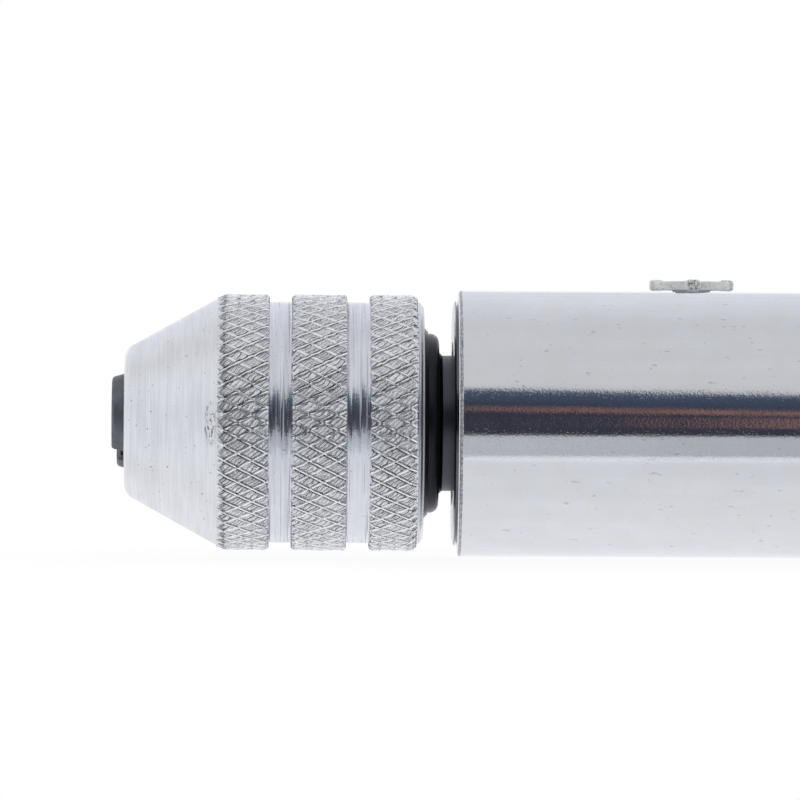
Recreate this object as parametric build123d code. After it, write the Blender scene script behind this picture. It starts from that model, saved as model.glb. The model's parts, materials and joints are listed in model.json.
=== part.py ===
"""Ratchet tap wrench for small taps: a two-jaw chuck on a spindle that a rocker pawl locks or frees.

Millimetres. The origin is on the tool's axis at the front face of the chuck nut. +X runs from the
nose to the T-handle, +Z points through the selector knob, and the T-bar lies along Y.
"""

import os
from math import cos, pi, radians, sin, tan

from build123d import *

# Fits and clearances
running_fit = 0.04  # radial, a plain shaft turning in its bush or hole
slide_fit = 0.1  # each side, a jaw tongue in its slot
thread_play = 0.05  # radial, a nut's bore over its male thread
bar_fit = 0.08  # radial, the T-bar in its hole
end_play = 0.02  # between a ball and what it presses on
face_gap = 0.1  # between faces that turn past each other
knob_gap = 0.05  # under the selector knob

# Chuck nut, measured from its front face
nut_length = 23.3
nut_band_radius = 10.0
nut_groove_radius = nut_band_radius - 0.6
nut_face_radius = 5.62  # where the outer cone would meet the front face
nut_face_round = 1.2
nut_cone_end = 7.62
nut_cone_end_radius = nut_band_radius - 0.15
nut_band_edge = 0.15
first_groove_place = 11.21
second_groove_place = 17.28
nut_groove_width = 1.89
nut_rear_chamfer_length = 0.81
nut_rear_radius = nut_band_radius - 0.95
nut_mouth_radius = 3.95
nut_cone_half_angle = 16.0
nut_ring_length = 1.6
nut_ring_proud = 0.35
nut_ring_wall = 0.35
nut_ring_bevel = 0.25

# Jaws: two alike, split across the tool's axis
split_turn = 51.5  # about +X, from +Z to the way the upper jaw opens
jaw_set_out = 0.35  # how far each jaw stands out from closed in the pose that is drawn
jaw_closed_gap = 0.06
jaw_nose = -0.98
jaw_stagger = 0.39  # the lower jaw sits this much further back in its slot
jaw_nose_round = 0.35
jaw_split_chamfer = 0.3
jaw_cone_clearance = 0.08
jaw_body_radius = 4.75
jaw_body_end = 12.7
jaw_tongue_width = 6.0
jaw_tongue_length = 5.5
jaw_tongue_end = jaw_body_end + jaw_tongue_length
square_held = 2.7  # across the flats of the tap square that the jaws stand open for
shank_relief_radius = 1.85
shank_relief_end = 3.4

# Springs that push the jaws apart
jaw_spring_place = 9.0
jaw_spring_offset = 2.9
jaw_spring_radius = 0.7
jaw_spring_wire = 0.125
jaw_spring_turns = 7
jaw_pocket_radius = jaw_spring_radius + face_gap
jaw_pocket_depth = 2.0

# Spindle
thread_radius = 7.0
thread_front = jaw_body_end + jaw_stagger + face_gap
thread_chamfer = 0.5
collar_round = 0.7
neck_bevel = 0.28  # where the collar meets the journal
collar_proud = 1.2  # of the nut's rear face
collar_end = nut_length + collar_proud
journal_radius = 5.29
stub_radius = 3.5
slot_end = jaw_tongue_end + jaw_stagger + 2 * face_gap
tap_clearance_radius = 2.6
tap_clearance_spare = 1.5  # past the collar
tap_clearance_end = collar_end + tap_clearance_spare
nut_bore_radius = thread_radius + thread_play
nut_ring_radius = nut_bore_radius + nut_ring_wall

# Along the tool from the collar to the ratchet wheel
neck_length = 1.44  # bare journal between the collar and the barrel
barrel_front = collar_end + neck_length
cap_proud = 0.35
cap_front = barrel_front - cap_proud
cap_length = 3.31
cap_rear = cap_front + cap_length
front_bush_length = 8.0
bush_rear = cap_rear + front_bush_length
washer_thickness = 1.1
washer_rear = bush_rear + face_gap + washer_thickness
journal_end = washer_rear + face_gap
wheel_flange_length = 1.0
selector_set_back = 6.02  # from the journal's shoulder
selector_place = journal_end + selector_set_back
wheel_teeth_length = 7.2
wheel_teeth_front = selector_place - wheel_teeth_length / 2
wheel_teeth_rear = selector_place + wheel_teeth_length / 2
wheel_hub_length = 2.2
wheel_rear = wheel_teeth_rear + wheel_hub_length
wheel_pin_place = wheel_rear - wheel_hub_length / 2
wheel_pin_radius = 0.8
wheel_end_gap = 0.5
chamber_end = wheel_rear + wheel_end_gap
rear_bush_set_back = 0.5
rear_bush_front = chamber_end + rear_bush_set_back
rear_bush_length = 6.0
rear_bush_rear = rear_bush_front + rear_bush_length
stub_proud = 1.0
stub_end = rear_bush_rear + stub_proud
thrust_ball_radius = 2.0
ball_seat_end = stub_end + 2 * thrust_ball_radius

# T-bar and what holds it
bar_radius = 3.2
bar_total_length = 80.0
bar_slid = 8.0  # how far the bar is slid towards +Y as drawn, so the tool lies still on one end of it
bar_end_radius = bar_radius + 1.4
bar_end_length = 6.5
bar_end_dome = 1.6
bar_end_edge = 0.4
bar_end_socket = 4.0
bar_wall = 7.7  # of solid barrel between the ball's seat and the bar's hole
bar_place = ball_seat_end + bar_wall + bar_radius + bar_fit
detent_ball_radius = 1.6
detent_bore_radius = detent_ball_radius + 0.05
detent_spring_radius = 1.4
detent_spring_wire = 0.2
detent_spring_turns = 4
detent_spring_length = 2.1
detent_screw_radius = 2.0
detent_screw_bevel = 0.25
detent_screw_front = bar_place + bar_radius + 2 * detent_ball_radius + detent_spring_length
detent_screw_length = 2.2
detent_socket_across = 2.0
detent_socket_depth = 1.2

# Barrel and front cap
barrel_radius = 10.4
barrel_rear = detent_screw_front + detent_screw_length + 0.32
barrel_front_bevel = 0.28
barrel_rear_chamfer = 1.2
barrel_rim_wall = 0.85  # outside the front cap
cap_radius = barrel_radius - barrel_rim_wall
cap_chamfer = 0.45
cap_chamfer_length = 0.15
cap_seam_width = 0.15  # the shadow line between the cap's lip and the barrel
cap_seam_depth = 0.3
cap_hole_radius = journal_radius + 1.11

# Ratchet wheel, as deep in the barrel as the pawl over it needs
tooth_count = 12
wheel_cover = 4.7  # from the teeth's tips out to the barrel's surface
tooth_tip_radius = barrel_radius - wheel_cover
tooth_height = 1.2
tooth_root_radius = tooth_tip_radius - tooth_height
tooth_tip_half = 0.45
tooth_root_half = 0.7
wheel_flange_radius = tooth_tip_radius + 0.2
wheel_hub_radius = tooth_root_radius + 0.2
chamber_radius = tooth_tip_radius + 0.4
rear_bush_radius = stub_radius + 2.0

# Rocker pawl, over the wheel
pawl_length = 5.6
pawl_side_gap = 0.2
pawl_pivot_rise = 1.4  # above the teeth's tips
pawl_pivot_height = tooth_tip_radius + pawl_pivot_rise
pawl_pin_radius = 0.6
pawl_pin_half_length = 5.4
pawl_back_height = pawl_pivot_height + 1.1
pawl_back_half = 1.7
pawl_belly_height = tooth_tip_radius + 0.3
pawl_tip_angle = 30.0
pawl_tip_radius = tooth_tip_radius - 0.45
pawl_tip_half = 0.3
pawl_root_radius = pawl_tip_radius + 1.2
pawl_root_half = 0.65
pawl_arm_radius = pawl_pivot_height + 0.25
pawl_arm_angle = 35.5
pawl_shoulder_half = 3.7
pawl_shoulder_height = pawl_pivot_height - 0.1
pawl_pocket_wall = 1.3
pawl_pocket_radius = barrel_radius - pawl_pocket_wall
pawl_pocket_half_angle = 44.0
bush_radius = pawl_pivot_height + pawl_pin_radius + 0.2  # leaves the pin's hole open at the front

# Selector knob
knob_radius = 3.28
knob_web_radius = 2.95
knob_underside = barrel_radius + knob_gap
knob_web_thickness = 0.72
knob_lug_height = 0.86
knob_lug_length = 1.1
knob_lug_width = 1.15
knob_lug_bevel = 0.2
knob_lug_count = 4
stem_radius = 1.7
clip_recess_wall = 1.2
clip_recess_top = barrel_radius - clip_recess_wall
stem_bottom = clip_recess_top - 0.6
stem_groove_depth = 0.4
clip_radius = stem_radius + 0.6
clip_thickness = 0.4
clip_recess_radius = clip_radius + 0.2
clip_opening = 2.0
plunger_radius = 0.5
plunger_throw = 0.8
plunger_tip_bevel = 0.2
plunger_bore_radius = plunger_radius + 0.05
plunger_bore_top = knob_underside + 0.35
plunger_top = plunger_bore_top - 0.95
plunger_spring_radius = 0.47
plunger_spring_wire = 0.07
plunger_spring_turns = 5

coil_steps = 10  # straight lengths in each turn of a spring

TINY = 1e-4


def turned(outline):
    """A solid of revolution about the tool's axis from (x, radius) corners."""
    return revolve(Plane.XY * Polygon(*outline, align=None), Axis.X)


def rod(radius, start, end):
    """A plain cylinder along the tool's axis from start to end."""
    return turned([(start, 0), (start, radius), (end, radius), (end, 0)])


def tube(inner, outer, start, end):
    """A plain ring along the tool's axis from start to end."""
    return turned([(start, inner), (start, outer), (end, outer), (end, inner)])


def rims(piece, x, radius):
    """The round edges of a turned piece at one place and radius."""
    circles = piece.edges().filter_by(GeomType.CIRCLE)
    return [e for e in circles if abs(e.arc_center.X - x) < TINY and abs(e.radius - radius) < TINY]


def cross_section(sketch, start, end):
    """A sketch drawn in (y, z) and carried along the tool's axis from start to end."""
    return extrude(Plane.YZ.offset(start) * sketch, end - start, dir=(1, 0, 0))


def upright(radius, bottom, top, x=selector_place, y=0.0):
    """A plain cylinder that stands along +Z."""
    return Pos(x, y, (bottom + top) / 2) * Cylinder(radius, top - bottom)


def coil(radius, wire, length, turns):
    """A compression spring along +Z from 0 to length, with its outer radius and its wire's radius."""
    lead = length - 2 * wire
    line = radius - wire
    count = turns * coil_steps
    points = []
    for step in range(count + 1):
        angle = 2 * pi * step / coil_steps
        points.append((line * cos(angle), line * sin(angle), wire + lead * step / count))
    path = Polyline(*points)
    start = Plane(origin=path @ 0, z_dir=path % 0)
    return sweep(start * RegularPolygon(wire, 6), path=path, transition=Transition.RIGHT)


def polar(radius, angle):
    """The (y, z) point at a radius, with its angle counted from +Z towards +Y."""
    return (radius * sin(radians(angle)), radius * cos(radians(angle)))


def opened(piece):
    """A jaw-side piece drawn with the split normal along +Z, turned to where the jaws really open."""
    return Rot(split_turn, 0, 0) * piece


def make_chuck_nut():
    """The knurled nut's body: outer cone, three bands, inner cone, thread bore and ring seat."""
    taper = tan(radians(nut_cone_half_angle))
    bore = nut_bore_radius
    cone_end = (bore - nut_mouth_radius) / taper
    seat = nut_length + nut_ring_proud - nut_ring_length - face_gap
    edge = nut_band_edge
    outline = [
        (0, nut_mouth_radius), (0, nut_face_radius), (nut_cone_end, nut_cone_end_radius),
        (nut_cone_end + edge, nut_band_radius),
    ]
    for start in (first_groove_place, second_groove_place):
        end = start + nut_groove_width
        outline += [(start - edge, nut_band_radius), (start, nut_band_radius - edge)]
        outline += [(start, nut_groove_radius), (end, nut_groove_radius)]
        outline += [(end, nut_band_radius - edge), (end + edge, nut_band_radius)]
    outline += [(nut_length - nut_rear_chamfer_length, nut_band_radius), (nut_length, nut_rear_radius)]
    outline += [(nut_length, nut_ring_radius), (seat, nut_ring_radius), (seat, bore), (cone_end, bore)]
    nut = turned(outline)
    return fillet(rims(nut, 0, nut_face_radius), nut_face_round)


def make_nut_retaining_ring():
    """The black ring pressed in the nut's rear, which stands a little proud of it."""
    rear = nut_length + nut_ring_proud
    ring = tube(nut_bore_radius, nut_ring_radius, rear - nut_ring_length, rear)
    return chamfer(rims(ring, rear, nut_ring_radius), nut_ring_bevel)


def make_jaw():
    """One jaw in its closed place, split face down and opening along +Z, not yet set out."""
    taper = tan(radians(nut_cone_half_angle))
    apex = nut_mouth_radius - jaw_set_out - jaw_cone_clearance
    nose_radius = apex + taper * jaw_nose
    cone_end = (jaw_body_radius - apex) / taper
    blank = turned([
        (jaw_nose, 0), (jaw_nose, nose_radius), (cone_end, jaw_body_radius),
        (jaw_body_end, jaw_body_radius), (jaw_body_end, 0),
    ])
    blank = fillet(rims(blank, jaw_nose, nose_radius), jaw_nose_round)
    tongue = rod(jaw_body_radius, jaw_body_end - TINY, jaw_tongue_end)
    reach = 2 * jaw_body_radius
    tongue &= Pos(jaw_tongue_end, 0, 0) * Box(2 * (jaw_tongue_end - jaw_nose), jaw_tongue_width, reach)
    jaw = blank + tongue
    floor = jaw_closed_gap / 2
    length = jaw_tongue_end - jaw_nose
    middle = (jaw_tongue_end + jaw_nose) / 2
    jaw &= Pos(middle, 0, floor + reach / 2) * Box(2 * length, 2 * reach, reach)
    # The vee that grips the tap's square, its corner the held square's half diagonal from the axis
    vee_height = square_held / 2 * 2**0.5 - jaw_set_out
    vee = Polygon((-2 * vee_height, -vee_height), (0, vee_height), (2 * vee_height, -vee_height), align=None)
    jaw -= cross_section(vee, jaw_nose - 1, jaw_tongue_end + 1)
    for side in (-1, 1):
        jaw -= upright(jaw_pocket_radius, 0, floor + jaw_pocket_depth, jaw_spring_place,
                       side * jaw_spring_offset)
    # A bevel where the split meets the nose, so that the mouth doesn't bite the shank
    mouth = [e for e in jaw.edges() if (e.center() - Vector(jaw_nose, e.center().Y, floor)).length < TINY]
    return chamfer(mouth, jaw_split_chamfer)


def make_jaws():
    """Both jaws where they are drawn: set out from closed, the lower one further back.

    The round relief for the tap's shank is cut in both at once, true to the tool's axis.
    """
    upper = Pos(0, 0, jaw_set_out) * make_jaw()
    lower = Pos(jaw_stagger, 0, 0) * (Rot(180, 0, 0) * upper)
    relief = rod(shank_relief_radius, jaw_nose - 1, shank_relief_end)
    return opened(upper) - relief, opened(lower) - relief


def make_jaw_springs():
    """Two small coils in the jaws' facing pockets."""
    half = jaw_closed_gap / 2 + jaw_pocket_depth + jaw_set_out - end_play
    place = jaw_spring_place + jaw_stagger / 2
    spring = Pos(0, 0, -half) * coil(jaw_spring_radius - jaw_stagger / 4, jaw_spring_wire, 2 * half,
                                     jaw_spring_turns)
    pair = [opened(Pos(place, side * jaw_spring_offset, 0) * spring) for side in (-1, 1)]
    return Compound(children=pair)


def make_spindle():
    """The slotted, threaded nose, the collar, the journal and the stub that carries the wheel."""
    outline = [
        (thread_front, 0), (thread_front, thread_radius - thread_chamfer),
        (thread_front + thread_chamfer, thread_radius), (collar_end, thread_radius),
        (collar_end, journal_radius), (journal_end, journal_radius), (journal_end, stub_radius),
        (stub_end - thread_chamfer, stub_radius), (stub_end, stub_radius - thread_chamfer), (stub_end, 0),
    ]
    spindle = turned(outline)
    spindle = fillet(rims(spindle, collar_end, thread_radius), collar_round)
    spindle = chamfer(rims(spindle, collar_end, journal_radius), neck_bevel)
    slot_width = jaw_tongue_width + 2 * slide_fit
    slot_length = slot_end - thread_front
    slot = Pos(slot_end - slot_length, 0, 0) * Box(2 * slot_length, slot_width, 4 * thread_radius)
    spindle -= opened(slot)
    spindle -= rod(tap_clearance_radius, thread_front, tap_clearance_end)
    return spindle - upright(wheel_pin_radius, -barrel_radius, barrel_radius, wheel_pin_place)


def make_thrust_washer():
    """The washer between the front bush and the ratchet wheel."""
    outer = bush_radius - running_fit
    return tube(journal_radius + running_fit, outer, washer_rear - washer_thickness, washer_rear)


def make_ratchet_wheel():
    """Twelve straight teeth between a thrust flange and a pinned hub."""
    rooted = 2 * tooth_root_radius - tooth_tip_radius  # as deep in the core as a tooth stands out
    foot = 2 * tooth_root_half - tooth_tip_half
    tooth = Polygon((-foot, rooted), (-tooth_tip_half, tooth_tip_radius), (tooth_tip_half, tooth_tip_radius),
                    (foot, rooted), align=None)
    pitch = 360 / tooth_count
    outline = Circle(tooth_root_radius)
    for number in range(tooth_count):
        outline += Rot(0, 0, (number + 0.5) * pitch) * tooth
    wheel = cross_section(outline, wheel_teeth_front, wheel_teeth_rear)
    wheel += rod(wheel_flange_radius, journal_end, journal_end + wheel_flange_length)
    wheel += rod(wheel_hub_radius, journal_end, wheel_teeth_front + TINY)
    wheel += rod(wheel_hub_radius, wheel_teeth_rear - TINY, wheel_rear)
    wheel -= rod(stub_radius, journal_end - 1, wheel_rear + 1)
    return wheel - upright(wheel_pin_radius, -barrel_radius, barrel_radius, wheel_pin_place)


def make_wheel_cross_pin():
    """The pin through the wheel's hub and the spindle's stub."""
    half = wheel_hub_radius - end_play
    return upright(wheel_pin_radius, -half, half, wheel_pin_place)


def make_front_cap():
    """The ring that closes the barrel's front and shows as a thin chamfered rim."""
    seam_front = barrel_front - cap_seam_width
    seam_radius = cap_radius - cap_seam_depth
    return turned([
        (cap_front, cap_hole_radius), (cap_front, cap_radius - cap_chamfer),
        (cap_front + cap_chamfer_length, cap_radius), (seam_front, cap_radius), (seam_front, seam_radius),
        (barrel_front, seam_radius), (barrel_front, cap_radius), (cap_rear, cap_radius),
        (cap_rear, cap_hole_radius),
    ])


def make_front_bush():
    """The plain bush that carries the spindle's journal."""
    return tube(journal_radius + running_fit, bush_radius, cap_rear, bush_rear)


def make_rear_bush():
    """The plain bush that carries the spindle's stub."""
    return tube(stub_radius + running_fit, rear_bush_radius, rear_bush_front, rear_bush_rear)


def make_thrust_ball():
    """The ball that the spindle's end turns against."""
    radius = thrust_ball_radius - end_play
    return Pos(stub_end + thrust_ball_radius, 0, 0) * Sphere(radius)


def make_barrel():
    """The round body, bored for bushes, ratchet, pawl, selector, T-bar and its detent."""
    barrel = rod(barrel_radius, barrel_front, barrel_rear)
    barrel = chamfer(rims(barrel, barrel_front, barrel_radius), barrel_front_bevel)
    barrel = chamfer(rims(barrel, barrel_rear, barrel_radius), barrel_rear_chamfer)
    stub_bore = stub_radius + 4 * face_gap
    bores = turned([
        (barrel_front, 0), (barrel_front, cap_radius), (cap_rear, cap_radius), (cap_rear, bush_radius),
        (journal_end, bush_radius), (journal_end, chamber_radius), (chamber_end, chamber_radius),
        (chamber_end, rear_bush_radius), (rear_bush_rear, rear_bush_radius),
        (rear_bush_rear, stub_bore), (stub_end + face_gap, stub_bore),
        (stub_end + face_gap, thrust_ball_radius), (ball_seat_end, thrust_ball_radius), (ball_seat_end, 0),
    ])
    half = pawl_length / 2 + pawl_side_gap
    far = 2 * pawl_pocket_radius
    left, right = polar(far, -pawl_pocket_half_angle), polar(far, pawl_pocket_half_angle)
    pocket = cross_section(Circle(pawl_pocket_radius) & Polygon((0, 0), right, left, align=None),
                           selector_place - half, selector_place + half)
    barrel -= bores + pocket
    barrel -= upright(stem_radius + running_fit, pawl_pivot_height, barrel_radius + 1)
    barrel -= upright(clip_recess_radius, pawl_pivot_height, clip_recess_top)
    pin_rear = selector_place + pawl_pin_half_length
    barrel -= Pos(0, 0, pawl_pivot_height) * rod(pawl_pin_radius, journal_end, pin_rear)
    barrel -= Pos(bar_place, 0, 0) * Rot(90, 0, 0) * Cylinder(bar_radius + bar_fit, 3 * barrel_radius)
    barrel -= rod(detent_bore_radius, bar_place, detent_screw_front)
    return barrel - rod(detent_screw_radius, detent_screw_front, barrel_rear)


def make_pawl_pin():
    """The pin that the pawl rocks on."""
    half = pawl_pin_half_length
    return Pos(0, 0, pawl_pivot_height) * rod(pawl_pin_radius, selector_place - half, selector_place + half)


def make_rocker_pawl():
    """The two-nosed pawl: level it locks the wheel, rocked either way it lets the wheel click past."""
    side = radians(pawl_tip_angle)

    def flank(radius, offset):
        """A point beside the nose's centre line, offset away from the tool's middle plane."""
        y, z = polar(radius, pawl_tip_angle)
        return (y + offset * cos(side), z - offset * sin(side))

    right = [
        (0, pawl_back_height), (pawl_back_half, pawl_back_height),
        (pawl_shoulder_half, pawl_shoulder_height),
        polar(pawl_arm_radius, pawl_arm_angle), flank(pawl_root_radius, pawl_root_half),
        flank(pawl_tip_radius, pawl_tip_half), flank(pawl_tip_radius, -pawl_tip_half),
        flank(pawl_root_radius, -pawl_root_half), (0, pawl_belly_height),
    ]
    left = [(-y, z) for y, z in right[-2:0:-1]]
    start = selector_place - pawl_length / 2
    pawl = cross_section(Polygon(*right, *left, align=None), start, start + pawl_length)
    hole = rod(pawl_pin_radius + running_fit, start - 1, start + pawl_length + 1)
    return pawl - Pos(0, 0, pawl_pivot_height) * hole


def make_selector_knob():
    """The round three-place selector: a disc with four rounded lugs on a grooved stem."""
    lug = Box(knob_lug_length, knob_lug_width, knob_lug_height)
    lug = chamfer(lug.edges(), knob_lug_bevel)
    place = Pos(knob_radius - knob_lug_length / 2, 0, knob_underside + knob_lug_height / 2)
    knob = upright(knob_web_radius, knob_underside, knob_underside + knob_web_thickness)
    for number in range(knob_lug_count):
        knob += Pos(selector_place, 0, 0) * Rot(0, 0, number * 360 / knob_lug_count) * place * lug
    knob += upright(stem_radius, stem_bottom, knob_underside + face_gap)
    groove_top = clip_recess_top - end_play
    groove = upright(stem_radius + 1, groove_top - clip_thickness, groove_top)
    groove -= upright(stem_radius - stem_groove_depth, stem_bottom, barrel_radius)
    knob -= groove
    return knob - upright(plunger_bore_radius, stem_bottom - 1, plunger_bore_top,
                          selector_place - plunger_throw)


def make_selector_clip():
    """The open clip in the stem's groove, which keeps the selector in the barrel."""
    top = clip_recess_top - end_play
    clip = upright(clip_radius, top - clip_thickness, top)
    clip -= upright(stem_radius - stem_groove_depth, stem_bottom, barrel_radius)
    mouth = Pos(selector_place + clip_radius, 0, top) * Box(2 * clip_radius, clip_opening, clip_radius)
    return clip - mouth


def make_pawl_plunger():
    """The sprung plunger, off the stem's centre, which rocks the pawl as the selector turns."""
    bottom = pawl_back_height + face_gap / 2
    plunger = upright(plunger_radius, bottom, plunger_top, selector_place - plunger_throw)
    tip = plunger.edges().filter_by(GeomType.CIRCLE).sort_by(Axis.Z)[0]
    return chamfer(tip, plunger_tip_bevel)


def make_plunger_spring():
    """The spring above the plunger."""
    length = plunger_bore_top - plunger_top - 2 * end_play
    spring = coil(plunger_spring_radius, plunger_spring_wire, length, plunger_spring_turns)
    return Pos(selector_place - plunger_throw, 0, plunger_top + end_play) * spring


def along_bar(piece):
    """A piece drawn along the tool's axis from x = 0, laid along the T-bar from its middle."""
    return Pos(bar_place, bar_slid, 0) * Rot(0, 0, 90) * piece


def make_t_bar():
    """The plain sliding bar, with its ends inside the end caps."""
    half = bar_total_length / 2 - bar_end_length + bar_end_socket
    return along_bar(rod(bar_radius, -half, half))


def make_end_cap():
    """A domed cap drawn at the end of a bar that runs along the tool's axis."""
    end = bar_total_length / 2
    inner = end - bar_end_length
    cap = rod(bar_end_radius, inner, end)
    cap = fillet(rims(cap, end, bar_end_radius), bar_end_dome)
    cap = chamfer(rims(cap, inner, bar_end_radius), bar_end_edge)
    return cap - rod(bar_radius, inner, inner + bar_end_socket)


def make_handle_detent_ball():
    """The ball that presses on the bar and holds it where it is slid to."""
    return Pos(bar_place + bar_radius + end_play + detent_ball_radius, 0, 0) * Sphere(detent_ball_radius)


def make_handle_detent_spring():
    """The spring behind the ball."""
    start = bar_place + bar_radius + 2 * end_play + 2 * detent_ball_radius
    spring = coil(detent_spring_radius, detent_spring_wire, detent_screw_front - start - end_play,
                  detent_spring_turns)
    return Pos(start, 0, 0) * Rot(0, 90, 0) * spring


def make_handle_detent_screw():
    """The socket set screw that closes the detent's hole in the rear face."""
    rear = detent_screw_front + detent_screw_length
    screw = rod(detent_screw_radius, detent_screw_front, rear)
    screw = chamfer(rims(screw, rear, detent_screw_radius), detent_screw_bevel)
    socket = RegularPolygon(detent_socket_across / 2, 6, major_radius=False)
    return screw - cross_section(socket, rear - detent_socket_depth, rear + 1)


upper_jaw, lower_jaw = make_jaws()
pieces = {
    "chuck_nut": make_chuck_nut(),
    "nut_retaining_ring": make_nut_retaining_ring(),
    "upper_jaw": upper_jaw,
    "lower_jaw": lower_jaw,
    "jaw_springs": make_jaw_springs(),
    "spindle": make_spindle(),
    "thrust_washer": make_thrust_washer(),
    "ratchet_wheel": make_ratchet_wheel(),
    "wheel_cross_pin": make_wheel_cross_pin(),
    "barrel": make_barrel(),
    "front_cap": make_front_cap(),
    "front_bush": make_front_bush(),
    "rear_bush": make_rear_bush(),
    "thrust_ball": make_thrust_ball(),
    "pawl_pin": make_pawl_pin(),
    "rocker_pawl": make_rocker_pawl(),
    "selector_knob": make_selector_knob(),
    "selector_clip": make_selector_clip(),
    "pawl_plunger": make_pawl_plunger(),
    "plunger_spring": make_plunger_spring(),
    "t_bar": make_t_bar(),
    "right_end_cap": along_bar(make_end_cap()),
    "left_end_cap": along_bar(mirror(make_end_cap(), Plane.YZ)),
    "handle_detent_ball": make_handle_detent_ball(),
    "handle_detent_spring": make_handle_detent_spring(),
    "handle_detent_screw": make_handle_detent_screw(),
}

os.makedirs("parts", exist_ok=True)
for name, piece in pieces.items():
    export_step(piece, f"parts/{name}.step")
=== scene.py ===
"""Looks of a ratchet tap wrench: finishes, knurl, cast selector, camera, studio light and floor.

Lengths in the classes are millimetres in the tool's own frame: +X from the nose to the T-handle,
+Z through the selector. They become metres only where a mesh, a node or the camera takes them.
"""

import json
import logging
import math
from dataclasses import dataclass, field
from enum import Enum
from typing import Optional, Sequence, Union

import bpy
import numpy as np
from mathutils import Matrix, Vector


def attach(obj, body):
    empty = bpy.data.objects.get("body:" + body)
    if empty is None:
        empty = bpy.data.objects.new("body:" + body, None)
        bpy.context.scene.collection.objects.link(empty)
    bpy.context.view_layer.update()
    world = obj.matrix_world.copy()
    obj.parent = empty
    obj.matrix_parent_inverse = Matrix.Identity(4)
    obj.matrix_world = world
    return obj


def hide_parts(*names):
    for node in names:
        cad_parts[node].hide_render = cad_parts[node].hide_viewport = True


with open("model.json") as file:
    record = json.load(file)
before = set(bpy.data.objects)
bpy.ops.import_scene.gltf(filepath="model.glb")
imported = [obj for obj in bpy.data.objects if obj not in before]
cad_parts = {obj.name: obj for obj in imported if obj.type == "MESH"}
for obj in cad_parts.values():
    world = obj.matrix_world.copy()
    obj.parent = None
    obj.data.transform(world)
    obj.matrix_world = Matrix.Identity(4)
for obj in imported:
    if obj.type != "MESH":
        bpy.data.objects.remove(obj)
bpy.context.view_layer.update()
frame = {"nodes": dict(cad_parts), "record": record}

logging.basicConfig(level=logging.INFO, format="%(name)s: %(message)s")
log = logging.getLogger("tap_wrench")

MM = 0.001
KNURL_MAP = "knurl"

Point = tuple[float, float]
Triple = tuple[float, float, float]
Edges = tuple[Point, Point]
Socket = bpy.types.NodeSocket
Value = Union[float, str, Sequence[float], Socket]
Materials = dict[str, bpy.types.Material]


class Axis(Enum):
    """The way that a round piece lies."""

    ALONG = "X"
    ACROSS = "Y"


def linear(colour: str) -> tuple[float, float, float, float]:
    """Turns an sRGB hex colour into the linear values that shaders take.

    Args:
        colour: Such as "#a0a4a8".

    Returns:
        Red, green, blue and an alpha of 1.
    """
    parts = [int(colour[i:i + 2], 16) / 255 for i in (1, 3, 5)]
    red, green, blue = (p / 12.92 if p <= 0.04045 else ((p + 0.055) / 1.055) ** 2.4 for p in parts)
    return red, green, blue, 1.0


def in_metres(lengths: Sequence[float]) -> list[float]:
    """Lengths in metres from lengths in mm."""
    return [length * MM for length in lengths]


# Shader nodes


@dataclass(frozen=True)
class NodeType:
    """What is the same for every node of one kind.

    Attributes:
        type: The node's type, without its "ShaderNode" prefix.
        settings: Attributes of the node itself.
        inputs: Names or places of the inputs that the values go to, in order.
        output: Name or place of the output that is used.
    """

    type: str
    settings: dict[str, str] = field(default_factory=dict)
    inputs: tuple[Union[int, str], ...] = (0, 1, 2, 3, 4)
    output: Union[int, str] = 0


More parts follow.
